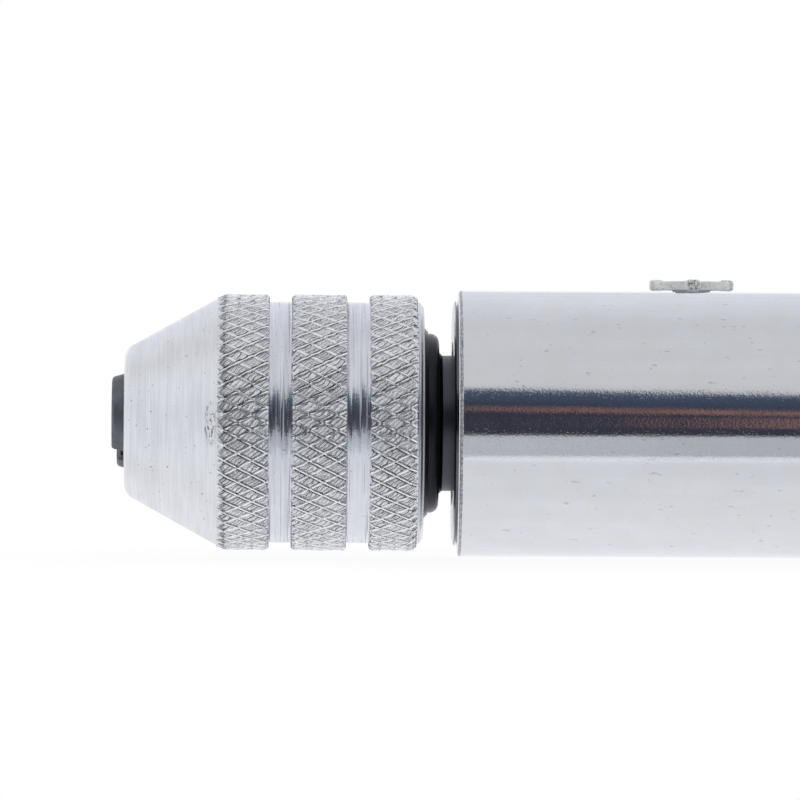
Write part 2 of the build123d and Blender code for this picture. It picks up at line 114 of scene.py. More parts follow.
class Kind(Enum):
    """The kinds of shader nodes that the looks are made of."""

    PLUS = NodeType("Math", {"operation": "ADD"})
    MINUS = NodeType("Math", {"operation": "SUBTRACT"})
    TIMES = NodeType("Math", {"operation": "MULTIPLY"})
    OVER = NodeType("Math", {"operation": "DIVIDE"})
    HIGHEST = NodeType("Math", {"operation": "MAXIMUM"})
    SIZE = NodeType("Math", {"operation": "ABSOLUTE"})
    FRACTION = NodeType("Math", {"operation": "FRACT"})
    ROOT = NodeType("Math", {"operation": "SQRT"})
    SINE = NodeType("Math", {"operation": "SINE"})
    ARCSINE = NodeType("Math", {"operation": "ARCSINE"})
    ARCTANGENT = NodeType("Math", {"operation": "ARCTAN2"})
    # Value, where the step starts and ends, and what it gives there (0 and 1 unless told).
    STEP = NodeType("MapRange", {"interpolation_type": "SMOOTHSTEP"})
    # Share of the second colour, first colour and second colour.
    MIX = NodeType("Mix", {"data_type": "RGBA"}, (0, 6, 7), 2)
    # Place, features in each metre, levels of detail and how strong the finer ones are.
    NOISE = NodeType("TexNoise", inputs=("Vector", "Scale", "Detail", "Roughness"))
    CHANCE = NodeType("TexWhiteNoise", {"noise_dimensions": "3D"}, ("Vector",))
    GRADIENT = NodeType("ValToRGB")
    PLACE = NodeType("TexCoord", output="Object")
    DIRECTION = NodeType("TexCoord", output="Generated")
    KNURL = NodeType("UVMap", {"uv_map": KNURL_MAP})
    NORMAL = NodeType("NewGeometry", output="Normal")
    CAMERA = NodeType("LightPath", output="Is Camera Ray")
    APART = NodeType("SeparateXYZ")
    TOGETHER = NodeType("CombineXYZ")
    STRETCHED = NodeType("VectorMath", {"operation": "MULTIPLY"})
    ENLARGED = NodeType("VectorMath", {"operation": "SCALE"}, (0, 3))
    JOINED = NodeType("VectorMath", {"operation": "ADD"})
    SQUARE_TO = NodeType("VectorMath", {"operation": "CROSS_PRODUCT"})
    UNIT = NodeType("VectorMath", {"operation": "NORMALIZE"})
    FLOORS = NodeType("VectorMath", {"operation": "FLOOR"})
    FRACTIONS = NodeType("VectorMath", {"operation": "FRACTION"})
    DISTANCE = NodeType("VectorMath", {"operation": "DISTANCE"}, output=1)
    LENGTH = NodeType("VectorMath", {"operation": "LENGTH"}, output=1)
    # Height, how far in metres a height of 1 stands out, and the normal that it leans.
    BUMP = NodeType("Bump", inputs=("Height", "Distance", "Normal"))
    METAL = NodeType("BsdfPrincipled", inputs=("Metallic",))
    MATT = NodeType("BsdfDiffuse")
    GLOW = NodeType("Emission")
    CLEAR = NodeType("BsdfTransparent")
    LIT_SKY = NodeType("Background")
    EITHER = NodeType("MixShader")
    SURFACE = NodeType("OutputMaterial")
    SKY = NodeType("OutputWorld")


class Nodes:
    """A node tree with one short way to add nodes, settings and links."""

    def __init__(self, tree: bpy.types.NodeTree) -> None:
        """Takes and empties the tree of a material or a world."""
        self.tree = tree
        tree.nodes.clear()

    def set(self, node: bpy.types.Node, name: Union[int, str], value: Value) -> None:
        """Sets or links one input of a node.

        Args:
            node: The node.
            name: The input's name or place.
            value: A number, an sRGB hex colour, several numbers, or an output to link.
        """
        if isinstance(value, Socket):
            self.tree.links.new(value, node.inputs[name])
        else:
            node.inputs[name].default_value = linear(value) if isinstance(value, str) else value

    def add(self, kind: Kind, *values: Value) -> Optional[Socket]:
        """Adds a node with its settings and links.

        Args:
            kind: What the node does.
            values: For the kind's inputs, in order. The inputs left over keep what the node has.

        Returns:
            The output that the kind names, or None where the node has no output.
        """
        about = kind.value
        node = self.tree.nodes.new("ShaderNode" + about.type)
        for name, value in about.settings.items():
            setattr(node, name, value)
        for name, value in zip(about.inputs, values):
            self.set(node, name, value)
        return node.outputs[about.output] if node.outputs else None

    def between(self, value: Value, edges: Edges, most: float = 1.0) -> Socket:
        """A share that is high between two soft edges and 0 outside them.

        Args:
            value: What the edges are places of.
            edges: Start and end of the rise, and start and end of the fall.
            most: The share between the edges.

        Returns:
            The share.
        """
        rise, fall = edges
        risen = self.add(Kind.STEP, value, *rise)
        return self.add(Kind.TIMES, risen, self.add(Kind.STEP, value, *fall, most, 0.0))

    def off_middle(self, value: Socket) -> Socket:
        """How far a value from 0 to 1 is from 0.5."""
        return self.add(Kind.SIZE, self.add(Kind.MINUS, value, 0.5))

    def radius(self, y: Socket, z: Socket) -> Socket:
        """Distance from the tool's axis."""
        squares = self.add(Kind.PLUS, self.add(Kind.TIMES, y, y), self.add(Kind.TIMES, z, z))
        return self.add(Kind.ROOT, squares)


@dataclass(frozen=True)
class Pattern:
    """A noise, sized by how many features it has in a millimetre.

    Attributes:
        per_mm: Features in each millimetre.
        detail: Levels of finer features in it.
        roughness: How strong the finer ones are.
        edges: Values of the noise between which the share changes. The noise is about 0.5.
        shares: The share below those values and above them.
        stretch: Scales along the tool's three axes, for a pattern that is drawn out.
    """

    per_mm: float
    detail: float = 2.0
    roughness: float = 0.5
    edges: Point = (0.0, 1.0)
    shares: Point = (0.0, 1.0)
    stretch: Optional[Triple] = None

    def noise(self, n: Nodes, place: Socket) -> Socket:
        """Adds the noise.

        Args:
            n: The material's nodes.
            place: The place on the tool in metres.

        Returns:
            The noise, about 0.5.
        """
        if self.stretch is not None:
            place = n.add(Kind.STRETCHED, place, self.stretch)
        return n.add(Kind.NOISE, place, self.per_mm / MM, self.detail, self.roughness)

    def share(self, n: Nodes, place: Socket) -> Socket:
        """The noise's softly stepped share at a place on the tool."""
        return n.add(Kind.STEP, self.noise(n, place), *self.edges, *self.shares)


# Finishes


@dataclass(frozen=True)
class Finish:
    """A metal surface: its colour, sheen and how far it varies.

    Attributes:
        name: The real material and how it was made.
        colour: sRGB of the metal.
        roughness: Microscopic roughness.
        mottle: How far the colour varies, 0 to 1.
        mottle_size: Size of the variation in mm.
        grain: Height of the surface's fine grain in mm.
        grain_size: Size of the grain in mm.
        mottle_colour: What the darker patches tend to.
    """

    name: str
    colour: str
    roughness: float
    mottle: float = 0.06
    mottle_size: float = 1.5
    grain: float = 0.0
    grain_size: float = 0.2
    mottle_colour: str = "#27272c"

    def build(self) -> bpy.types.Material:
        """Makes the material.

        Returns:
            The new material.
        """
        material = bpy.data.materials.new(self.name)
        material.use_nodes = True
        n = Nodes(material.node_tree)
        place = n.add(Kind.PLACE)
        metal = n.add(Kind.METAL, 1.0)
        n.add(Kind.SURFACE, metal)
        self.paint(n, place, metal.node)
        return material

    def mottled(self, n: Nodes, place: Socket) -> Socket:
        """The metal's colour, darker in soft patches."""
        patches = Pattern(1 / self.mottle_size, 3.0, edges=(0.3, 0.7), shares=(0.0, self.mottle))
        return n.add(Kind.MIX, patches.share(n, place), self.colour, self.mottle_colour)

    def uneven_roughness(self, n: Nodes, noise: Socket) -> Socket:
        """The roughness, a fifth less and more with a noise."""
        return n.add(Kind.STEP, noise, 0.3, 0.7, self.roughness * 0.8, self.roughness * 1.2)

    def paint(self, n: Nodes, place: Socket, shader: bpy.types.Node) -> None:
        """Sets the shader's colour, roughness and normal.

        Args:
            n: The material's nodes.
            place: The place on the tool in metres.
            shader: What the finish sets.
        """
        n.set(shader, "Base Color", self.mottled(n, place))
        n.set(shader, "Roughness", self.roughness)
        if self.grain:
            grain = Pattern(1 / self.grain_size, 3.0, 0.6).noise(n, place)
            n.set(shader, "Normal", n.add(Kind.BUMP, grain, self.grain * MM))


@dataclass(frozen=True)
class TurnedFinish(Finish):
    """Turned metal: fine rings round the tool's axis, with a few pits.

    Attributes:
        line_pitch: Mean distance between the rings in mm. Real ones are some 0.1 mm apart, which is
            too fine to show, so they are drawn coarser.
        line_depth: Their depth in mm.
        line_colour: What the finest rings tend to.
        line_share: How far they tend to it.
        ring_stretch: Scale of the noise along and round the tool, so that it runs in rings.
        feed_kept: Where the regular rings of the tool's feed still show.
        pits: How many small dark pits it has, 0 to 1.
        pit_spots: The pits' places.
        pit_spread: Where they are closer together.
        pit_colour: Of the pits.
        pit_share: How dark they are.
        scuff: Middle and reach in mm of a place that is knocked and stained.
        scuff_stretch: Makes that place taller than it is long.
        scuff_tears: The tears in it.
        scuff_colour: Of its discoloured metal.
        scuff_depth: Depth of its tears in mm.
        painted_reflection_rings: Start and end in mm along the tool of each painted reflection of the dark
            collar.
        painted_reflection_colour: Of those painted reflections.
        painted_reflection_share: How dark they are.
        painted_reflection_edge: How far in mm their edges reach outwards and inwards.
    """

    line_pitch: float = 0.28
    line_depth: float = 0.004
    line_colour: str = "#6a6e76"
    line_share: float = 0.10
    ring_stretch: Triple = (1.0, 0.03, 0.03)
    feed_kept: Pattern = Pattern(0.45, edges=(0.42, 0.62), shares=(0.05, 0.5))
    pits: float = 0.3
    pit_spots: Pattern = Pattern(4.4, 1.0, 0.4)
    pit_spread: Pattern = Pattern(0.6, 1.0, edges=(0.35, 0.7), shares=(-0.03, 0.03))
    pit_colour: str = "#5a5d62"
    pit_share: float = 0.75
    scuff: Optional[tuple[float, ...]] = None
    scuff_stretch: Triple = (1.0, 1.0, 0.3)
    scuff_tears: Pattern = Pattern(5.2, 3.0, 0.65, edges=(0.54, 0.60), stretch=(1.0, 1.0, 0.4))
    scuff_colour: str = "#6e6056"
    scuff_depth: float = 0.08
    painted_reflection_rings: tuple[Point, ...] = ()
    painted_reflection_colour: str = "#3b3d47"
    painted_reflection_share: float = 0.85
    painted_reflection_edge: Point = (0.02, 0.01)

    def paint(self, n: Nodes, place: Socket, shader: bpy.types.Node) -> None:
        """Lays rings, pits, painted reflection rings and the scuff over the plain metal.

        Args:
            n: The material's nodes.
            place: The place on the tool in metres.
            shader: What the finish sets.
        """
        rings = n.add(Kind.STRETCHED, place, self.ring_stretch)
        coarse = Pattern(0.5 / self.line_pitch, roughness=0.7).noise(n, rings)
        fine = Pattern(1.6 / self.line_pitch, roughness=0.6).noise(n, rings)
        x = n.add(Kind.APART, place)
        feed = n.add(Kind.SINE, n.add(Kind.TIMES, x, 2 * math.pi / (self.line_pitch * MM)))
        kept = self.feed_kept.share(n, place)
        lines = n.add(Kind.PLUS, n.add(Kind.TIMES, coarse, 0.7), n.add(Kind.TIMES, fine, 0.5))
        lines = n.add(Kind.PLUS, lines, n.add(Kind.TIMES, feed, n.add(Kind.TIMES, kept, 0.5)))
        colour = self.pitted(n, place, self.mottled(n, place))
        shade = n.add(Kind.STEP, fine, 0.35, 0.65, 0.0, self.line_share)
        colour = n.add(Kind.MIX, shade, colour, self.line_colour)
        outwards, inwards = self.painted_reflection_edge
        # Thin dark rings painted on as a reflection of the dark collar.
        for start, end in self.painted_reflection_rings:
            rise = in_metres((start - outwards, start + inwards))
            fall = in_metres((end - inwards, end + outwards))
            painted_reflection = n.between(x, (rise, fall), self.painted_reflection_share)
            colour = n.add(Kind.MIX, painted_reflection, colour, self.painted_reflection_colour)
        normal = n.add(Kind.BUMP, lines, self.line_depth * MM)
        if self.scuff is not None:
            torn = self.torn(n, place)
            colour = n.add(Kind.MIX, n.add(Kind.TIMES, torn, 0.75), colour, self.scuff_colour)
            normal = n.add(Kind.BUMP, torn, -self.scuff_depth * MM, normal)
        n.set(shader, "Base Color", colour)
        n.set(shader, "Roughness", self.uneven_roughness(n, coarse))
        n.set(shader, "Normal", normal)

    def pitted(self, n: Nodes, place: Socket, colour: Socket) -> Socket:
        """A colour with small dark pits, closer together in some places than in others.

        Args:
            n: The material's nodes.
            place: The place on the tool in metres.
            colour: Of the metal round the pits.

        Returns:
            The colour.
        """
        spots = n.add(Kind.PLUS, self.pit_spots.noise(n, place), self.pit_spread.share(n, place))
        lower = 0.05 * self.pits
        pits = n.add(Kind.STEP, spots, 0.76 - lower, 0.82 - lower, 0.0, self.pit_share)
        return n.add(Kind.MIX, pits, colour, self.pit_colour)

    def torn(self, n: Nodes, place: Socket) -> Socket:
        """Where the scuffed place is torn.

        Args:
            n: The material's nodes.
            place: The place on the tool in metres.

        Returns:
            1 in a tear and 0 on whole metal.
        """
        *middle, reach = self.scuff
        centre = in_metres([c * k for c, k in zip(middle, self.scuff_stretch)])
        away = n.add(Kind.DISTANCE, n.add(Kind.STRETCHED, place, self.scuff_stretch), centre)
        near = n.add(Kind.STEP, away, 0.3 * reach * MM, reach * MM, 1.0, 0.0)
        return n.add(Kind.TIMES, self.scuff_tears.share(n, place), near)


@dataclass(frozen=True)
class KnurledFinish(Finish):
    """The knurl's pads: short slanted strokes that differ from pad to pad, between worn crests with painted
    highlights and cuts with painted shade.

    Places across a pad run from 0 to 1 along each of the knurl's two ways.

    Attributes:
        stroke_pitch: Distance between the strokes in mm.
        stroke_depth: Their depth in mm.
        stroke_slant: How far the strokes' phase goes along the knurl's first and second way.
        stroke_pace: How much wider and closer they are on some pads.
        stroke_force: Start, end, least and most of how deep they are, by a pad's chance of 0 to 1.
        stroke_wobble: How the strokes sway.
        stroke_edges: Where a stroke rises and falls, as shares of its pitch.
        painted_shadow_edges: Where the painted shadow beside a stroke starts and ends, as shares of its
            pitch.
        pad_edge: Distance from a pad's middle where the strokes start to fade, and where they end.
        crest_edge: Distance from a pad's middle where the crest's painted highlight starts, and where it is
            full.
        hollow_shade_edges: Where the painted shade in the cut beside a crest starts and ends.
        hollow_shade_share: How dark that painted shade is.
        first_way_painted_light: Painted brightness of the first way's lines at the tool's lower and upper
            side.
        second_way_painted_light: Painted brightness of the second way's lines at the tool's upper and lower
            side.
        side_reach: Height in mm over which those two sides change into each other.
        dull_metallic: How metallic the pads are. The worn crests are metal throughout.
        fine_grain: The pads' fine grain.
        patches: How the dullness varies over many pads.
        patch_colour: What the duller pads tend to.
        patch_share: How far they tend to it.
        painted_shade_colour: Of the painted shadows beside the strokes and the painted shade in the cuts.
        soot: Where there is dirt.
        soot_colour: Of the dirt.
        rust: Where there are brown specks.
        rust_colour: Of those specks.
        breaks: Where the lines between pads are broken.
        fringe_shade_colour: Of the painted shade in the cuts that show between the first row's teeth.
        wear_and_highlight_colour: Of the crests, worn and brightened as a painted highlight.
        worn_smoother: How much less rough they are.
        plain_colour: Where the knurl has left plain metal.
        plain: Start radius and slope of the plain chamfer that the knurl runs out on.
        teeth_end: Where the gaps between the first row's teeth end, in mm along the tool.
        teeth_reach: How far in mm those teeth stand out towards the nose.
        teeth_raggedness: How far in mm their ends are uneven.
        teeth_unevenness: How that varies from place to place.
        teeth_edge: Half the width in mm of their soft ends.
        fringe_shade_edge: Start and end in mm of the painted shade in the cuts behind the teeth's ends.
        fringe_shade_share: How dark that painted shade is.
    """

    stroke_pitch: float = 0.29
    stroke_depth: float = 0.11
    stroke_slant: Point = (1.16, 0.28)
    stroke_pace: Point = (0.75, 1.25)
    stroke_force: tuple[float, ...] = (0.0, 0.8, 0.55, 1.0)
    stroke_wobble: Pattern = Pattern(0.9, 1.0)
    stroke_edges: Edges = ((0.0, 0.5), (0.6, 0.95))
    painted_shadow_edges: Edges = ((0.62, 0.80), (0.90, 1.0))
    pad_edge: Point = (0.33, 0.41)
    crest_edge: Point = (0.415, 0.45)
    hollow_shade_edges: Edges = ((0.77, 0.84), (0.88, 0.915))
    hollow_shade_share: float = 0.55
    first_way_painted_light: Point = (0.85, 1.0)
    second_way_painted_light: Point = (0.5, 0.95)
    side_reach: float = 3.5
    dull_metallic: float = 0.6
    fine_grain: Pattern = Pattern(5.5, 3.0, 0.65)
    patches: Pattern = Pattern(0.5)
    patch_colour: str = "#9a9da0"
    patch_share: float = 0.08
    painted_shade_colour: str = "#35393b"
    soot: Pattern = Pattern(4.6, edges=(0.60, 0.66), shares=(0.0, 0.6), stretch=(1.0, 1.0, 1.3))
    soot_colour: str = "#4c4e4e"
    rust: Pattern = Pattern(2.6, 1.0, 0.4, edges=(0.72, 0.78), shares=(0.0, 0.45))
    rust_colour: str = "#7d6a55"
    breaks: Pattern = Pattern(1.4, roughness=0.6, edges=(0.36, 0.52), shares=(0.4, 1.0))
    fringe_shade_colour: str = "#45484b"
    wear_and_highlight_colour: str = "#ffffff"
    worn_smoother: float = 0.1
    plain_colour: str = "#eceef2"
    plain: Point = (36.38, -1.1728)
    teeth_end: float = 7.86
    teeth_reach: float = 0.46
    teeth_raggedness: float = 0.22
    teeth_unevenness: Pattern = Pattern(1.7)
    teeth_edge: float = 0.02
    fringe_shade_edge: Point = (0.06, 0.5)
    fringe_shade_share: float = 0.75

    def paint(self, n: Nodes, place: Socket, shader: bpy.types.Node) -> None:
        """Lays strokes with painted shadows, dirt, painted shade in cuts and highlit worn crests, by the
        knurl's own map.

        Args:
            n: The material's nodes.
            place: The place on the tool in metres.
            shader: What the finish sets.
        """
        cell = n.add(Kind.KNURL)
        chance = n.add(Kind.CHANCE, n.add(Kind.FLOORS, cell)).node
        pace, phase, force = n.add(Kind.APART, chance.outputs["Color"]).node.outputs
        p, q, _ = n.add(Kind.APART, n.add(Kind.FRACTIONS, cell)).node.outputs
        along, aslant = self.stroke_slant
        across = n.add(Kind.PLUS, n.add(Kind.TIMES, p, along), n.add(Kind.TIMES, q, aslant))
        pace = n.add(Kind.TIMES, n.add(Kind.STEP, pace, 0.0, 1.0, *self.stroke_pace), 1 / self.stroke_pitch)
        wobble = n.add(Kind.TIMES, self.stroke_wobble.noise(n, place), 1.1)
        stroke = n.add(Kind.PLUS, n.add(Kind.TIMES, across, pace), n.add(Kind.PLUS, phase, wobble))
        stroke = n.add(Kind.FRACTION, stroke)
        pads = [n.add(Kind.STEP, n.off_middle(way), *self.pad_edge, 1.0, 0.0) for way in (p, q)]
        strength = n.add(Kind.TIMES, n.add(Kind.TIMES, *pads), n.add(Kind.STEP, force, *self.stroke_force))
        uncut, fringe_shade = self.uncut(n, place, cell)
        strength = n.add(Kind.TIMES, strength, n.add(Kind.MINUS, 1.0, uncut))
        strokes = n.add(Kind.TIMES, n.between(stroke, self.stroke_edges), strength)
        # Painted shadow: a dark band beside each stroke.
        scores = n.add(Kind.TIMES, n.between(stroke, self.painted_shadow_edges), strength)
        grain = self.fine_grain.noise(n, place)
        height = n.add(Kind.PLUS, strokes, n.add(Kind.TIMES, grain, 0.16))
        patches = n.add(Kind.PLUS, chance.outputs["Value"], self.patches.noise(n, place))
        patches = n.add(Kind.STEP, patches, 0.5, 1.5, 0.0, self.patch_share)
        colour = n.add(Kind.MIX, patches, self.colour, self.patch_colour)
        # The painted shadows beside the strokes.
        colour = n.add(Kind.MIX, n.add(Kind.TIMES, scores, 0.8), colour, self.painted_shade_colour)
        colour = n.add(Kind.MIX, self.soot.share(n, place), colour, self.soot_colour)
        colour = n.add(Kind.MIX, self.rust.share(n, place), colour, self.rust_colour)
        broken = self.breaks.share(n, place)
        hollows, crests = self.lines(n, place, (p, q))
        # Painted shade: the cuts beside the crests are darkened, broken in places.
        hollows = n.add(Kind.TIMES, hollows, n.add(Kind.TIMES, broken, self.hollow_shade_share))
        colour = n.add(Kind.MIX, hollows, colour, self.painted_shade_colour)
        # Painted shade in the cuts just behind the first row's teeth.
        fringe_shade = n.add(Kind.TIMES, fringe_shade, n.add(Kind.STEP, stroke, 0.2, 0.7, 1.0, 0.35))
        colour = n.add(Kind.MIX, fringe_shade, colour, self.fringe_shade_colour)
        # Painted highlight: the crests, partly real wear, turn white and fully metal.
        worn = n.add(Kind.TIMES, crests, broken)
        colour = n.add(Kind.MIX, worn, colour, self.wear_and_highlight_colour)
        n.set(shader, "Base Color", n.add(Kind.MIX, uncut, colour, self.plain_colour))
        rough = self.uneven_roughness(n, grain)
        n.set(shader, "Roughness", n.add(Kind.MINUS, rough, n.add(Kind.TIMES, worn, self.worn_smoother)))
        n.set(shader, "Normal", n.add(Kind.BUMP, height, self.stroke_depth * MM))
        n.set(shader, "Metallic", n.add(Kind.STEP, worn, 0.0, 1.0, self.dull_metallic, 1.0))

    def lines(self, n: Nodes, place: Socket, ways: Sequence[Socket]) -> tuple[Socket, Socket]:
        """Where the lines between pads are, along both of the knurl's ways.

        Args:
            n: The material's nodes.
            place: The place on the tool in metres.
            ways: Place across the pad along the first and the second way.

        Returns:
            1 in the cuts' painted shade and 1 on the crests' painted highlight, both fainter on one side of
            the tool.
        """
        z = n.add(Kind.APART, place).node.outputs["Z"]
        upper = n.add(Kind.STEP, z, -self.side_reach * MM, self.side_reach * MM)
        # Painted light: one way's lines show stronger on the upper side, the other's on the lower side.
        shares = [n.add(Kind.STEP, side, 0.0, 1.0, *brightness) for side, brightness
                  in ((upper, self.first_way_painted_light), (n.add(Kind.MINUS, 1.0, upper), self.second_way_painted_light))]
        hollows, crests = [], []
        for way, share in zip(ways, shares):
            hollows.append(n.add(Kind.TIMES, n.between(way, self.hollow_shade_edges), share))
            crest = n.add(Kind.STEP, n.off_middle(way), *self.crest_edge)
            crests.append(n.add(Kind.TIMES, crest, share))
        return n.add(Kind.HIGHEST, *hollows), n.add(Kind.HIGHEST, *crests)

    def uncut(self, n: Nodes, place: Socket, cell: Socket) -> tuple[Socket, Socket]:
        """Where the knurl has left plain metal, and the painted shade in the cuts behind the first row's
        teeth.

        Args:
            n: The material's nodes.
            place: The place on the tool in metres.
            cell: The knurl's own map.

        Returns:
            1 on the plain cone and chamfer, and how dark the painted shade is in the cuts behind the teeth.
        """
        x, y, z = n.add(Kind.APART, place).node.outputs
        p, q, _ = n.add(Kind.APART, cell).node.outputs
        row = n.add(Kind.FRACTION, n.add(Kind.TIMES, n.add(Kind.MINUS, p, q), 0.5))
        tooth = n.add(Kind.TIMES, n.off_middle(row), 2 * self.teeth_reach * MM)
        ragged = n.add(Kind.TIMES, self.teeth_unevenness.noise(n, place), self.teeth_raggedness * MM)
        end = n.add(Kind.PLUS, n.add(Kind.PLUS, x, tooth), ragged)
        limit = self.teeth_end + self.teeth_raggedness / 2
        soft = in_metres((limit - self.teeth_edge, limit + self.teeth_edge))
        before = n.add(Kind.STEP, end, *soft, 1.0, 0.0)
        start, slope = self.plain
        surface = n.add(Kind.PLUS, n.add(Kind.TIMES, x, slope), start * MM)
        left = n.add(Kind.STEP, n.add(Kind.MINUS, n.radius(y, z), surface), -0.035 * MM, -0.012 * MM)
        fringe_shade = in_metres([limit + edge for edge in self.fringe_shade_edge])
        return n.add(Kind.HIGHEST, before, left), n.add(Kind.STEP, end, *fringe_shade, self.fringe_shade_share, 0.0)


@dataclass(frozen=True)
class GrooveFinish(TurnedFinish):
    """The nut's plain grooves: coarse bundles of turning lines, some much darker than others.

    Attributes:
        bundle_stretch: Scale of the noise along and round the tool.
        bundles: The coarse bundles of lines.
        ridges: A few higher ridges among them.
        fray: Unevenness of both round the nut.
        streaks: The dullest rings.
        bundle_colour: What the bundles tend to.
        bundle_depth: Their depth in mm.
        leaning: How the surface leans from ring to ring.
        sway: How far it leans.
        dull_metallic: How metallic the dullest rings are.
        dull_roughness: Their roughness.
    """

    bundle_stretch: Triple = (1.0, 0.012, 0.012)
    bundles: Pattern = Pattern(2.7, 3.0, 0.75)
    ridges: Pattern = Pattern(2.1, roughness=0.6, edges=(0.53, 0.60), shares=(0.0, 0.3))
    fray: Pattern = Pattern(3.0)
    streaks: Pattern = Pattern(7.3, 1.0, edges=(0.58, 0.66))
    bundle_colour: str = "#60636e"
    bundle_depth: float = 0.07
    leaning: Pattern = Pattern(5.4, roughness=0.7)
    sway: float = 0.32
    dull_metallic: float = 0.45
    dull_roughness: float = 0.5

    def paint(self, n: Nodes, place: Socket, shader: bpy.types.Node) -> None:
        """Lays strong rings over the turned finish.

        Args:
            n: The material's nodes.
            place: The place on the tool in metres.
            shader: What the finish sets.
        """
        super().paint(n, place, shader)
        rings = n.add(Kind.STRETCHED, place, self.bundle_stretch)
        lines = n.add(Kind.PLUS, self.bundles.noise(n, rings), self.ridges.share(n, rings))
        frayed = n.add(Kind.PLUS, lines, n.add(Kind.TIMES, self.fray.noise(n, place), 0.12))
        colour = shader.inputs["Base Color"].links[0].from_socket
        shade = n.add(Kind.STEP, frayed, 0.50, 0.80, 0.0, 0.12)
        n.set(shader, "Base Color", n.add(Kind.MIX, shade, colour, self.bundle_colour))
        streaks = self.streaks.share(n, rings)
        n.set(shader, "Metallic", n.add(Kind.STEP, streaks, 0.0, 1.0, 1.0, self.dull_metallic))
        n.set(shader, "Roughness", n.add(Kind.STEP, streaks, 0.0, 1.0, self.roughness, self.dull_roughness))
        normal = self.swayed(n, self.leaning.noise(n, rings))
        n.set(shader, "Normal", n.add(Kind.BUMP, frayed, self.bundle_depth * MM, normal))

    def swayed(self, n: Nodes, rings: Socket) -> Socket:
        """Leans the surface a little round the axis, by a different amount at each ring.

        Args:
            n: The material's nodes.
            rings: A noise that runs in rings.

        Returns:
            The normal.
        """
        normal = n.add(Kind.NORMAL)
        around = n.add(Kind.SQUARE_TO, n.add(Kind.TOGETHER, 1.0, 0.0, 0.0), normal)
        lean = n.add(Kind.ENLARGED, around, n.add(Kind.TIMES, n.add(Kind.MINUS, rings, 0.5), self.sway))
        return n.add(Kind.UNIT, n.add(Kind.JOINED, normal, lean))


